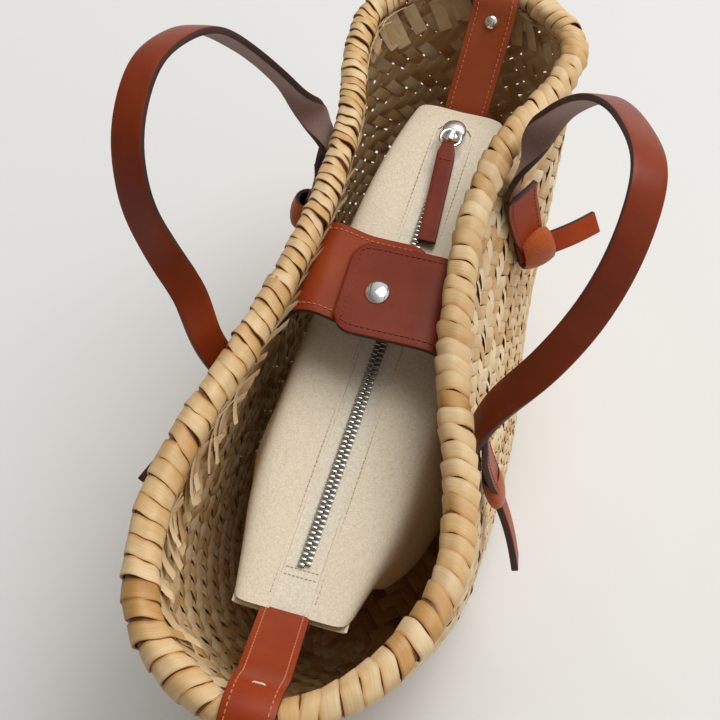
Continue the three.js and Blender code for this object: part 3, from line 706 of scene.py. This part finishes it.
def stitches(name, seams, spacing, thick, thread):
    """A row of stitches along each seam, which is a line of points and face directions."""
    spots = []
    for seam in seams:
        reach = reached(seam)
        starts = np.arange(spacing / 4, reach[-1] - STITCH_STOPS[-1] * spacing, spacing)
        at = starts[:, None] + spacing * STITCH_STOPS
        spots.append(np.stack([np.interp(at, reach, column) for column in seam.T], -1))
    spots = np.concatenate(spots)
    face = unit(spots[..., 3:])
    centre = spots[..., :3] + face * thick * STITCH_RISES[:, None]
    across = unit(np.cross(face, np.gradient(spots[..., :3], axis=1))) * thick
    made = ribbons(name, centre, across, face * thick, THREAD_SECTION, thread, 0.3)
    dress(made, "leather")


def edge_seams(line, inset, lift):
    """The two seams that run inset from the edges of a strip, on its face."""
    half = np.linalg.norm(line[:, 3:6], axis=1, keepdims=True) / 2 - inset
    face = unit(line[:, 6:])
    shifts = [edge * unit(line[:, 3:6]) * half for edge in (-1, 1)]
    return [np.hstack([line[:, :3] + shift + face * lift, face]) for shift in shifts]


def wall_at(side, y, z):
    """A point of the wall's outer face on one side, with its level directions outwards and along."""
    step = 0.002
    turns = np.linspace(*SIDE_TURNS, 400)
    turns = turns if side > 0 else 1 - turns
    level = np.interp(z, wall[:, 0, 2], np.arange(levels))
    turn = np.array(np.interp(y, on_wall(turns, level)[:, 1], turns))
    ahead = (on_wall(turn + step, level) - on_wall(turn - step, level)) * [1, 1, 0]
    out = unit(np.cross(ahead, UP))
    return on_wall(turn, level) + out * WALL_HALF, out, np.cross(UP, out) * side


for name, side, y, shift, knot, (tail_along, tail_out, tail_up), lift, band_tilt, knot_share in TIES:
    band_line = []
    for z, clear, width in BAND_STOPS:
        point, out, along = wall_at(side, y, z)
        tilt = np.radians(band_tilt)
        across = along * np.cos(tilt) + out * np.sin(tilt)
        band_line.append(np.concatenate([point + out * clear, across * width, side * np.cross(across, UP)]))
    band_line = even(facing(np.array(band_line)), 24)
    dress(strap(name + "_band", band_line, BAND_THICK, TIE_FINISH, crown=BAND_CROWN), "leather", name)
    seams = edge_seams(band_line, BAND_SEAM, BAND_THICK / 2 + BAND_THREAD_LIFT)
    stitches(name + "_stitches", seams, *BAND_STITCH, dark_thread)

    point, out, along = wall_at(side, y + shift, KNOT_HEIGHT)
    centre = point + out * (knot + KNOT_GAP)
    way = along * tail_along + out * tail_out + UP * tail_up
    share = np.linspace(-TAIL_HIDDEN, 1, 18)[:, None]
    tail_middle = centre + way * share + out * TAIL_BOW * np.sin(np.pi * share)
    tail_face = np.cross(np.cross(way, out), way)
    tail_face = unit(tail_face) * np.sign(tail_face @ (out + UP)) + lift * UP
    tail_across = unit(np.cross(way, tail_face))
    tail_ways = np.concatenate([tail_across * TAIL_WIDTH, np.cross(tail_across, unit(way))])
    tail_line = facing(np.hstack([tail_middle, np.broadcast_to(tail_ways, (len(share), 6))]))
    tail = strap(name + "_tail", tail_line, TAIL_THICK, (tan_hide, edge_paint, tan_hide), columns=5)
    dress(tail, "leather")

    bpy.ops.mesh.primitive_cylinder_add(vertices=32, radius=1, depth=1, end_fill_type="NOTHING")
    turn_round = added(name + "_knot")
    bpy.ops.object.mode_set(mode="EDIT")
    bpy.ops.mesh.subdivide(number_cuts=4)
    bpy.ops.object.mode_set(mode="OBJECT")
    round_points = corners_of(turn_round)
    bulge = 1 - KNOT_ROUND * round_points[:, 2:] ** 2
    round_points[:, :2] *= bulge / np.linalg.norm(round_points[:, :2], axis=1, keepdims=True)
    axis = unit(way)
    wide = unit(np.cross(way, out))
    deep = np.cross(axis, wide)
    basis = np.stack([wide * KNOT_HALF_HEIGHT, deep * (knot - KNOT_INSET), axis * KNOT_WIDTH]) * knot_share
    set_corners(turn_round, centre + round_points @ basis)
    for material in (orange_suede, edge_paint, edge_paint):
        turn_round.data.materials.append(material)
    finish_faces(turn_round, STRAP_SMOOTH)
    thicken(turn_round, KNOT_WALL, EDGE_ROUND, -1)
    dress(turn_round, "leather")

# Pouch
# A canvas pouch hangs in the basket, its top sewn flat with a slot for the zip and its ends turned in to a
# flat hem that holds the end straps. Below the top it is slack and swells.
CANVAS = 1.3
POUCH_TOP = 158
POUCH_X = -6
POUCH_TURN = np.radians(-1.8)
POUCH_DEPTH = 105
POUCH_SINK = 0.4
SLOT_HALF = 8.6
SLOT_FAR = 131
SLOT_TAPER = 2.5
SLOT_COLUMNS = 6
HEM_DEPTH = 6.4
HEM_LENGTH = 6
HEM_REACH = 2.4
HEM_STEPS = 60
HEM_SQUARENESS = 0.3
CREASE = 1.1
DIP = 0.5
SLUB = 0.4
WEAVE_SLUR = 5
# The stations: places along the bag, and half widths of the top and of the belly there.
POUCH_STATIONS = np.array([
    (-139, 27, 27), (-114, 31, 40), (-83, 36.5, 47), (-40, 37, 46), (0, 37, 42), (58, 36, 39), (96, 33.5, 37),
    (123, 29, 33), (140, 24.5, 25),
])
# The profile: drops below the top, shares of the top's and of the belly's half width, and of the length.
POUCH_PROFILE = np.array([
    (0, 0.55, 0, 1), (0.8, 0.82, 0, 1), (2.6, 0.96, 0, 0.995), (6, 1, 0, 0.97), (20, 0.5, 0.5, 0.83),
    (45, 0, 1, 0.74), (70, 0, 1, 0.66), (88, 0, 0.93, 0.57), (100, 0, 0.78, 0.49), (105, 0, 0.5, 0.42),
    (105, 0, 0, 0.42),
])


# Canvas: a matt cream plain weave with slubs both ways, drawn at about half a millimetre so that it shows.
def canvas_cloth(name, dark, light):
    cloth, tree, shader = new_material(name)
    place = node(tree, "TexCoord").outputs["Object"]
    threads = []
    for way in ((1, 1 / WEAVE_SLUR, 1 / WEAVE_SLUR), (1 / WEAVE_SLUR, 1, 1)):
        stretch = node(tree, "Mapping", {"Vector": place}, Scale=[share / (SLUB * MM) for share in way])
        slubs = node(tree, "TexNoise", {"Vector": stretch.outputs[0]}, Scale=1, Detail=2)
        threads.append(slubs.outputs["Fac"])
    both = node(tree, "Math", {0: threads[0], 1: threads[1]}, operation="ADD").outputs[0]
    half = node(tree, "MapRange", {"Value": both}, From_Min=0.6, From_Max=1.4)
    stops = [(0.15, dark), (0.7, light)]
    coat(tree, shader, half.outputs[0], stops, Roughness=0.95, Specular_IOR_Level=0.15)
    emboss(tree, shader, both, 0.45, 0.25)
    return cloth


cream_canvas = canvas_cloth("cream canvas", "#cfc1a7", "#e3d7c1")
tape_cloth = canvas_cloth("grey beige zip tape", "#cdc2ab", "#e2d9c7")
cream_thread = waxed_thread("cream thread", "#b3a588", "#d6ccb7")


def on_pouch(points):
    """Points drawn straight along the bag, set a little askew as the pouch hangs."""
    cos, sin = np.cos(POUCH_TURN), np.sin(POUCH_TURN)
    turn = np.array([[cos, sin, 0], [-sin, cos, 0], UP])
    return points @ turn + [POUCH_X, 0, 0]


POUCH_ROWS = 72
HALF_COLUMNS = 44
# The end rows that a panel shuts, and the drop at which each panel begins.
PANELS = ((0, 6), (-1, 2))
MIDDLE_HALF = 38
share = 0.5 - 0.5 * np.cos(np.pi * np.linspace(0, 1, POUCH_ROWS))
near_end, far_end = POUCH_STATIONS[[0, -1], 0]
station_y = near_end + (far_end - near_end) * share
halves = [np.interp(station_y, POUCH_STATIONS[:, 0], column) for column in POUCH_STATIONS[:, 1:].T]
top_half, belly_half = (soften(half, 20) for half in halves)
profile_x = MIDDLE_HALF * (POUCH_PROFILE[:, 1] + POUCH_PROFILE[:, 2])
hops = np.hypot(np.diff(POUCH_PROFILE[:, 0]), np.diff(profile_x))
reach = np.concatenate([[0], np.cumsum(hops)])
spots = np.linspace(0, reach[-1], HALF_COLUMNS)
profile = np.stack([np.interp(spots, reach, column) for column in POUCH_PROFILE.T], 1)
profile = soften(profile, 2)
half_x = top_half[:, None] * profile[:, 1] + belly_half[:, None] * profile[:, 2]
slot_share = np.linspace(0, 1, SLOT_COLUMNS, endpoint=False)
slot_half = SLOT_HALF * np.clip((SLOT_FAR - station_y[:, None]) / SLOT_TAPER, 0, 1)
top_x = slot_half + (half_x[:, :1] - slot_half) * slot_share
half_x = np.hstack([top_x, half_x])
drop = np.concatenate([np.zeros(SLOT_COLUMNS), profile[:, 0]])
length = np.concatenate([np.ones(SLOT_COLUMNS), profile[:, 3]])
half_y = station_y[:, None] * length
half_y = half_y - HEM_REACH * np.clip(1 - drop / 7, 0, 1) * np.clip(1 - share * 8, 0, 1)[:, None]
half_z = np.broadcast_to(POUCH_TOP - drop, half_x.shape)
crease = np.sin(half_y / 23 + half_z / 17) * np.sin(half_y / 9.7 - half_z / 31 + 1)
slack = np.clip((drop - 8) / 20, 0, 1) * np.clip((POUCH_DEPTH - drop) / 30, 0, 1)
half_x = half_x + CREASE * crease * slack
dip = DIP * np.sin(half_y / 13 + 0.6) * np.sin(half_x / 9) * np.clip(1 - drop / 5, 0, 1)
right_half = np.stack([half_x, half_y, half_z - POUCH_SINK - dip], -1)
left_half = right_half * [-1, 1, 1]
shell = on_pouch(np.concatenate([left_half, right_half[:, -2::-1]], 1))
columns = shell.shape[1]
pouch = laid("pouch_canvas", shell, [cream_canvas])
panel_share = np.linspace(0, 1, 15)[None, :, None]
panels = []
for row, open_depth in PANELS:
    first = np.argmax(drop >= open_depth)
    left, right = shell[row, first:columns // 2 + 1], shell[row, ::-1][first:columns // 2 + 1]
    panel = left[:, None] + (right - left)[:, None] * panel_share
    panels.append(laid("pouch_end", panel, [cream_canvas]))
for piece in (pouch, *panels):
    piece.select_set(True)
bpy.context.view_layer.objects.active = pouch
bpy.ops.object.join()
bpy.ops.object.mode_set(mode="EDIT")
bpy.ops.mesh.select_all(action="SELECT")
bpy.ops.mesh.remove_doubles(threshold=0.05 * MM)
bpy.ops.object.mode_set(mode="OBJECT")
finish_faces(pouch)
thicken(pouch, CANVAS, 0.3, -1)
dress(pouch, "canvas", "pouch")

# The near hem's lower layer: a flat fold of canvas under the strap, closed round at both corners.
around = np.linspace(1.02 * np.pi, 1.98 * np.pi, HEM_STEPS)
hem_half = top_half[0] - 1.6
squared_x, squared_z = (np.sign(w) * np.abs(w) ** HEM_SQUARENESS for w in (np.cos(around), np.sin(around)))
hem_x = squared_x * hem_half
hem_z = POUCH_TOP - 0.9 - HEM_DEPTH / 2 + squared_z * HEM_DEPTH / 2
hem_line = np.stack([hem_x, np.full(HEM_STEPS, near_end - HEM_REACH + HEM_LENGTH / 2 + 0.3), hem_z], 1)
hem_across = np.broadcast_to([0, HEM_LENGTH, 0], hem_line.shape)
hem_up = unit(np.cross(np.gradient(hem_line, axis=0), hem_across)) * CANVAS
HEM_SECTION = [(-0.5, -0.3), (-0.44, -0.5), (0.5, -0.5), (0.5, 0.5), (-0.44, 0.5), (-0.5, 0.3)]
hem_line = on_pouch(hem_line)
hem = ribbons("pouch_hem_near", hem_line[None], hem_across[None], hem_up[None], HEM_SECTION, cream_canvas, 0)
dress(hem, "canvas")

# Zip
# A metal zip on a woven tape under the slot: teeth clamped in two staggered rows, a slider shut at the far
# end with a wire ring, and a leather pull folded round the ring. The canvas is stitched down beside it.
TAPE_WIDTH = 26
TAPE_TOP = 156.9
TAPE_THICK = 0.8
TAPE_ROWS = 60
TAPE_COLUMNS = 5
TAPE_SHORT = (0.7, 0.6)
TOOTH_PITCH = 2.6
TOOTH_REACH = 3.1
TOOTH_LENGTH = 1.15
TOOTH_HEIGHT = 2.6
TOOTH_STAGGER = 0.42
CHAIN_NEAR = -119
CHAIN_FAR = 129
CHAIN_MIDDLE = 158.1
FOLD_SEAM = 1.6
FOLD_STITCH = (2.6, 0.5)
TACK_ROWS = (-120.6, -124.2)
TACK_HALF = 8
TACK_STITCH = (1.9, 0.6)

tape_rows = np.linspace(near_end - HEM_REACH + TAPE_SHORT[0], far_end - TAPE_SHORT[1], TAPE_ROWS)
tape_points = np.zeros((TAPE_ROWS, TAPE_COLUMNS, 3))
tape_points[..., 0] = np.linspace(-0.5, 0.5, TAPE_COLUMNS) * TAPE_WIDTH
tape_points[..., 1] = tape_rows[:, None]
tape_points[..., 2] = TAPE_TOP - TAPE_THICK / 2
tape = laid("zip_tape_cloth", on_pouch(tape_points), [tape_cloth])
thicken(tape, TAPE_THICK, 0.2)
dress(tape, "canvas", "zip_tape")


# Plated metal: pale, from mirror bright to satin, its gloss broken by fine polishing marks.
def plated(name, colour, roughness):
    metal, tree, shader = new_material(name)
    place = node(tree, "TexCoord").outputs["Object"]
    marks = node(tree, "TexNoise", {"Vector": place}, Scale=1 / (1.5 * MM), Detail=3)
    bright, dull = 0.6 * roughness, 1.4 * roughness
    spread = node(tree, "MapRange", {"Value": marks.outputs["Fac"]}, To_Min=bright, To_Max=dull)
    tree.links.new(spread.outputs[0], shader.inputs["Roughness"])
    shader.inputs["Base Color"].default_value = linear(colour)
    shader.inputs["Metallic"].default_value = 1
    return metal


chrome = plated("polished chrome plate", "#eeeeef", 0.14)
nickel = plated("bright nickel teeth", "#b9b6b0", 0.26)
satin_chrome = plated("satin chrome plate", "#f4f4f4", 0.34)

bpy.ops.mesh.primitive_cube_add(size=1)
teeth = added("zip_teeth")
bpy.ops.object.mode_set(mode="EDIT")
bpy.ops.transform.resize(value=(TOOTH_REACH * MM, TOOTH_LENGTH * MM, TOOTH_HEIGHT * MM))
bpy.ops.mesh.bevel(offset=0.3 * MM, segments=2, affect="EDGES")
bpy.ops.object.mode_set(mode="OBJECT")
tooth = corners_of(teeth) / MM
tooth_faces = [list(face.vertices) for face in teeth.data.polygons]
places = np.arange(CHAIN_NEAR, CHAIN_FAR, TOOTH_PITCH / 2)
sides = np.where(np.arange(len(places)) % 2, 1, -1)
shift = np.stack([sides * TOOTH_REACH * TOOTH_STAGGER, places, np.full(len(places), CHAIN_MIDDLE)], 1)
every = on_pouch((tooth[None] + shift[:, None]).reshape(-1, 3))
faces = [[k * len(tooth) + corner for corner in face] for k in range(len(places)) for face in tooth_faces]
teeth.data.clear_geometry()
teeth.data.from_pydata((every * MM).tolist(), [], faces)
teeth.data.materials.append(nickel)
finish_faces(teeth)
dress(teeth, "metal", "zip_chain")


def level_seam(start, end, count):
    """A straight seam on the pouch's top, facing up."""
    return np.hstack([on_pouch(np.linspace(start, end, count)), np.broadcast_to(UP, (count, 3))])


fold_seams = []
for x in (-SLOT_HALF - FOLD_SEAM, SLOT_HALF + FOLD_SEAM):
    fold_seams.append(level_seam((x, near_end + 4, POUCH_TOP - 0.3), (x, SLOT_FAR, POUCH_TOP - 0.3), 80))
stitches("pouch_fold_stitches", fold_seams, *FOLD_STITCH, cream_thread)
tack_rows = []
for y in TACK_ROWS:
    tack_rows.append(level_seam((-TACK_HALF, y, TAPE_TOP + 0.1), (TACK_HALF, y, TAPE_TOP + 0.1), 20))
stitches("zip_bar_tack", tack_rows, *TACK_STITCH, cream_thread)

# The slider: a cast satin plate over the teeth with a round dome on it and a lug that holds the ring.
SLIDER_MIDDLE = 125
SLIDER_FOOT = 160.2
SLIDER_PLATE = (9, 9, 1.4)
SLIDER_DOME = (6.3, 6.6, 2.6)
SLIDER_LUG = (3.2, 6.4, 2.2)
LUG_SHIFT = (0, -5.4, 3.4)
RING_MIDDLE = (118, 163.8)
RING_RADIUS = 5
RING_WIRE = 1.1
RING_SQUARENESS = 2.3
RING_STEPS = 48
PULL_THICK = 1.2
PULL_WIDTH = 9
PULL_NECK = 6.4
PULL_TIP = 56
PULL_BEND = 90
PULL_SHIFT = 5
PULL_FOLD = 2.1
PULL_SHOULDER = 5
PULL_LAYERS = (161, 162.45)
PULL_SEAM_Y = 103
PULL_SEAM_HALF = 0.36
PULL_THREAD_LIFT = 0.15
PULL_STITCH = (2, 0.5)

bpy.ops.mesh.primitive_cube_add(size=1)
slider = added("zip_slider_body")
bpy.ops.object.mode_set(mode="EDIT")
bpy.ops.transform.resize(value=[side * MM for side in SLIDER_PLATE])
bpy.ops.mesh.bevel(offset=0.6 * MM, segments=4, affect="EDGES")
bpy.ops.mesh.primitive_uv_sphere_add(segments=36, ring_count=20, radius=1)
bpy.ops.transform.resize(value=[side * MM for side in SLIDER_DOME])
bpy.ops.mesh.bisect(plane_co=(0, 0, 0), plane_no=(0, 0, 1), use_fill=True, clear_inner=True)
bpy.ops.mesh.primitive_cube_add(size=1)
bpy.ops.transform.resize(value=[side * MM for side in SLIDER_LUG])
bpy.ops.mesh.bevel(offset=0.9 * MM, segments=4, affect="EDGES")
bpy.ops.transform.translate(value=[way * MM for way in LUG_SHIFT])
bpy.ops.object.mode_set(mode="OBJECT")
shift = [0, SLIDER_MIDDLE, SLIDER_FOOT + SLIDER_PLATE[2] / 2]
set_corners(slider, on_pouch(corners_of(slider) / MM + shift))
slider.data.materials.append(satin_chrome)
finish_faces(slider)
dress(slider, "metal", "zip_slider")

around = np.linspace(0, 2 * np.pi, RING_STEPS, endpoint=False)
spoke = np.stack([np.cos(around), np.sin(around), np.zeros(RING_STEPS)], 1)
power = (np.abs(spoke[:, :2]) ** RING_SQUARENESS).sum(1, keepdims=True) ** (1 / RING_SQUARENESS)
ring_line = on_pouch(spoke * RING_RADIUS / power + [0, *RING_MIDDLE])
ring_up = np.broadcast_to(UP * RING_WIRE, ring_line.shape)
ring_across = spoke[None] * RING_WIRE
wire = ribbons("zip_ring_wire", ring_line[None], ring_across, ring_up[None], round_section, chrome, 0, True)
dress(wire, "metal", "zip_ring")

ring_near = RING_MIDDLE[0] - RING_RADIUS
fold_turn = np.linspace(-np.pi / 2, np.pi / 2, 12)
fold_y = ring_near + PULL_FOLD * np.cos(fold_turn)
fold_z = RING_MIDDLE[1] + PULL_FOLD * np.sin(fold_turn)
pull_y = np.concatenate([[PULL_TIP, PULL_BEND], fold_y, [PULL_BEND, PULL_TIP]])
pull_z = np.concatenate([[PULL_LAYERS[0]] * 2, fold_z, [PULL_LAYERS[1]] * 2])
pull_x = PULL_SHIFT * (ring_near - pull_y) / (ring_near - PULL_TIP)
pull_middle = even(np.stack([pull_x, pull_y, pull_z], 1), 110)
broad = np.clip((ring_near - 1 - pull_middle[:, 1]) / PULL_SHOULDER, 0, 1)
pull_width = PULL_NECK + (PULL_WIDTH - PULL_NECK) * broad ** 2 * (3 - 2 * broad)
pull_across = pull_width[:, None] * [[1, 0, 0]]
pull_face = -unit(np.cross(pull_across, np.gradient(pull_middle, axis=0)))
pull_line = facing(np.hstack([on_pouch(pull_middle), pull_across, pull_face]))
pull = strap("zip_pull_leather", pull_line, PULL_THICK, (maroon_hide, edge_paint, mauve_suede), columns=5)
dress(pull, "leather", "zip_pull")


def seam_across(line, y, half, lift, face=None):
    """The seam across a strip at one place along the bag, lifted the way it faces."""
    crossing = line[np.abs(line[:, 1] - y).argmin()]
    face = crossing[6:] if face is None else face
    share = np.linspace(-half, half, 12)[:, None]
    points = crossing[:3] + crossing[3:6] * share + face * lift
    return np.hstack([points, np.broadcast_to(face, points.shape)])


upper_layer = pull_line[len(pull_line) // 2:]
pull_seam = seam_across(upper_layer, PULL_SEAM_Y, PULL_SEAM_HALF, PULL_THICK / 2 + PULL_THREAD_LIFT, UP)
stitches("zip_pull_stitches", [pull_seam], *PULL_STITCH, dark_thread)

# End straps
# A stitched leather strap comes out of each hem, runs up over the roll and down the outer wall. The far one
# has a press stud and a hide painted paler for a painted sheen. The near one has a bar of pale stitches.
END_STRAP_THICK = 2.6
END_SEAM = 2.7
END_THREAD_LIFT = 0.15
END_STITCH = (2.8, 0.65)
END_STRAP_TUCK = {"strap_near": 4, "strap_far": 1}
END_STRAP_SOFTENING = 26
BAR_Y = -191.9
BAR_HALF = 0.2
BAR_LIFT = 0.45
BAR_STITCH = (8, 0.9)
pale_thread = waxed_thread("pale thread", "#c9a58c", "#f0dcc6")
end_lines = {}
for name in ("strap_near", "strap_far"):
    packed = strip_of(name, UP, rings(name)[:, :, 2].mean(1).argmax())
    packed[0, :3] -= unit(packed[1, :3] - packed[0, :3]) * END_STRAP_TUCK[name]
    end_lines[name] = even(packed, 90, END_STRAP_SOFTENING)
    finish = (tan_hide if name == "strap_near" else sheen_painted_hide, edge_paint, orange_suede)
    end_strap = strap(name + "_leather", end_lines[name], END_STRAP_THICK, finish, crown=STRAP_CROWN)
    dress(end_strap, "leather", name)
    seams = edge_seams(end_lines[name], END_SEAM, END_STRAP_THICK / 2 + END_THREAD_LIFT)
    stitches(name + "_stitches", seams, *END_STITCH, orange_thread)
bar = seam_across(end_lines["strap_near"], BAR_Y, BAR_HALF, END_STRAP_THICK / 2 + BAR_LIFT)
stitches("strap_near_bar", [bar], *BAR_STITCH, pale_thread)

# Closure
# A wide strip from the left wall lies under a wide flap from the right wall, both sewn to the inner wall and
# stitched round their edges. A domed press stud shuts them.
CLOSURE_THICK = 3
CLOSURE_CROWN = 0.6
CLOSURE_SEAM = 3.5
CLOSURE_THREAD_LIFT = 0.35
CLOSURE_STITCH = (2.6, 0.55)
SEWN_PART = slice(12, -4)
strip_hide = cowhide("orange cowhide", "#782a0d", "#8e3a14", 0.5, 0.14)
CLOSURES = [
    ("closure_strip", (strip_hide, edge_paint, mauve_suede), orange_thread),
    ("closure_flap", (maroon_hide, edge_paint, mauve_suede), dark_thread),
]
for name, finish, thread in CLOSURES:
    line = even(strip_of(name, UP, -1), 80)
    if line[-1, 2] < line[0, 2]:
        line = facing(line[::-1])
    closure = strap(name + "_leather", line, CLOSURE_THICK, finish, columns=13, crown=CLOSURE_CROWN)
    dress(closure, "leather", name)
    left, right = edge_seams(line, CLOSURE_SEAM, CLOSURE_THICK / 2 + CLOSURE_THREAD_LIFT)
    seam = np.concatenate([left[SEWN_PART], right[SEWN_PART][::-1]])
    stitches(name + "_stitches", [seam], *CLOSURE_STITCH, thread)


def press_stud(name, packed, face):
    """A domed press stud set on the place of a packed one, its dome towards a face."""
    points = np.array([vert.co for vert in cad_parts[packed].data.vertices]) / MM
    rise = points @ face
    flat = points - rise[:, None] * face
    middle = (flat.max(0) + flat.min(0)) / 2
    radius = np.linalg.norm(flat - middle, axis=1).max()
    height = np.ptp(rise)
    bpy.ops.mesh.primitive_uv_sphere_add(segments=40, ring_count=24, radius=radius * MM)
    stud = added(name)
    bpy.ops.object.mode_set(mode="EDIT")
    bpy.ops.transform.resize(value=(1, 1, height / radius))
    bpy.ops.mesh.bisect(plane_co=(0, 0, 0.05 * MM), plane_no=(0, 0, 1), use_fill=True, clear_inner=True)
    bpy.ops.object.mode_set(mode="OBJECT")
    side = unit(np.cross(face, [0, 1, 0.01]))
    pose = np.eye(4)
    pose[:3, :3] = np.stack([side, np.cross(face, side), face], 1)
    pose[:3, 3] = (middle + face * rise.min()) * MM
    stud.data.transform(Matrix(pose.tolist()))
    stud.data.materials.append(chrome)
    finish_faces(stud)
    dress(stud, "metal", packed)


press_stud("closure_stud", "closure_snap", UP)
far_line = end_lines["strap_far"]
stud_place = np.array(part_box("strap_snap")).mean(0) / MM
stud_face = unit(far_line[np.linalg.norm(far_line[:, :3] - stud_place, axis=1).argmin(), 6:])
press_stud("strap_far_stud", "strap_snap", stud_face)

# Floor, light and camera
# A plain pale studio floor, one large soft light from above the far right and a room that is brighter on one
# side. The camera looks down into the bag from the near end.
FLOOR_SIZE = 8
FLOOR_PLACE = (0, 0, -0.0006)
CAMERA_TURN = np.radians(16)
CAMERA_RISE = np.radians(60)
CAMERA_ROLL = np.radians(-0.9)
CAMERA_DISTANCE = 720
CAMERA_TARGET = np.array([-6.2, -38.4, 203])
CAMERA_LENS = 83.3
CAMERA_SENSOR = 36
ROOM_TURN = np.radians(55)
ROOM_SHADES = [(0.15, "#8a8885"), (0.75, "#fbfcfd")]
ROOM_STRENGTH = 0.7
LAMP_PLACE = (0.75, 1.05, 2.9)
LAMP_AIM = (0, 0, 0.1)
LAMP_POWER = 80
LAMP_SIZE = 2.2

bpy.ops.mesh.primitive_plane_add(size=FLOOR_SIZE, location=FLOOR_PLACE)
floor = bpy.context.object
floor.name = "floor"
paper, tree, shader = new_material("pale studio paper")
shader.inputs["Base Color"].default_value = linear("#dddcd9")
shader.inputs["Roughness"].default_value = 0.9
floor.data.materials.append(paper)

world = bpy.data.worlds.new("even room light")
bpy.context.scene.world = world
world.use_nodes = True
room = world.node_tree
direction = node(room, "TexCoord").outputs["Generated"]
turned = node(room, "Mapping", {"Vector": direction}, Rotation=(0, 0, ROOM_TURN), Scale=(0.5, 0.5, 0.5))
fade = node(room, "SeparateXYZ", {"Vector": turned.outputs[0]})
across_room = node(room, "MapRange", {"Value": fade.outputs["Y"]}, From_Min=-0.5, From_Max=0.5)
room.links.new(ramp(room, across_room.outputs[0], ROOM_SHADES), room.nodes["Background"].inputs["Color"])
room.nodes["Background"].inputs["Strength"].default_value = ROOM_STRENGTH

bpy.ops.object.light_add(type="AREA", location=LAMP_PLACE)
lamp = bpy.context.object
lamp.data.energy = LAMP_POWER
lamp.data.size = LAMP_SIZE
aim = np.array(LAMP_AIM) - np.array(lamp.location)
lamp.rotation_euler = (np.arctan2(np.hypot(aim[0], aim[1]), -aim[2]), 0, np.arctan2(aim[0], -aim[1]) + np.pi)

bpy.ops.object.camera_add()
camera = bpy.context.object
pose = Matrix.Rotation(CAMERA_TURN, 4, "Z") @ Matrix.Rotation(np.pi / 2 - CAMERA_RISE, 4, "X")
pose = pose @ Matrix.Rotation(CAMERA_ROLL, 4, "Z")
pose.translation = (CAMERA_TARGET + CAMERA_DISTANCE * np.array(pose.col[2][:3])) * MM
camera.matrix_world = pose
camera.data.lens = CAMERA_LENS
camera.data.sensor_width = CAMERA_SENSOR
bpy.context.scene.camera = camera
bpy.context.scene.view_settings.view_transform = "Standard"
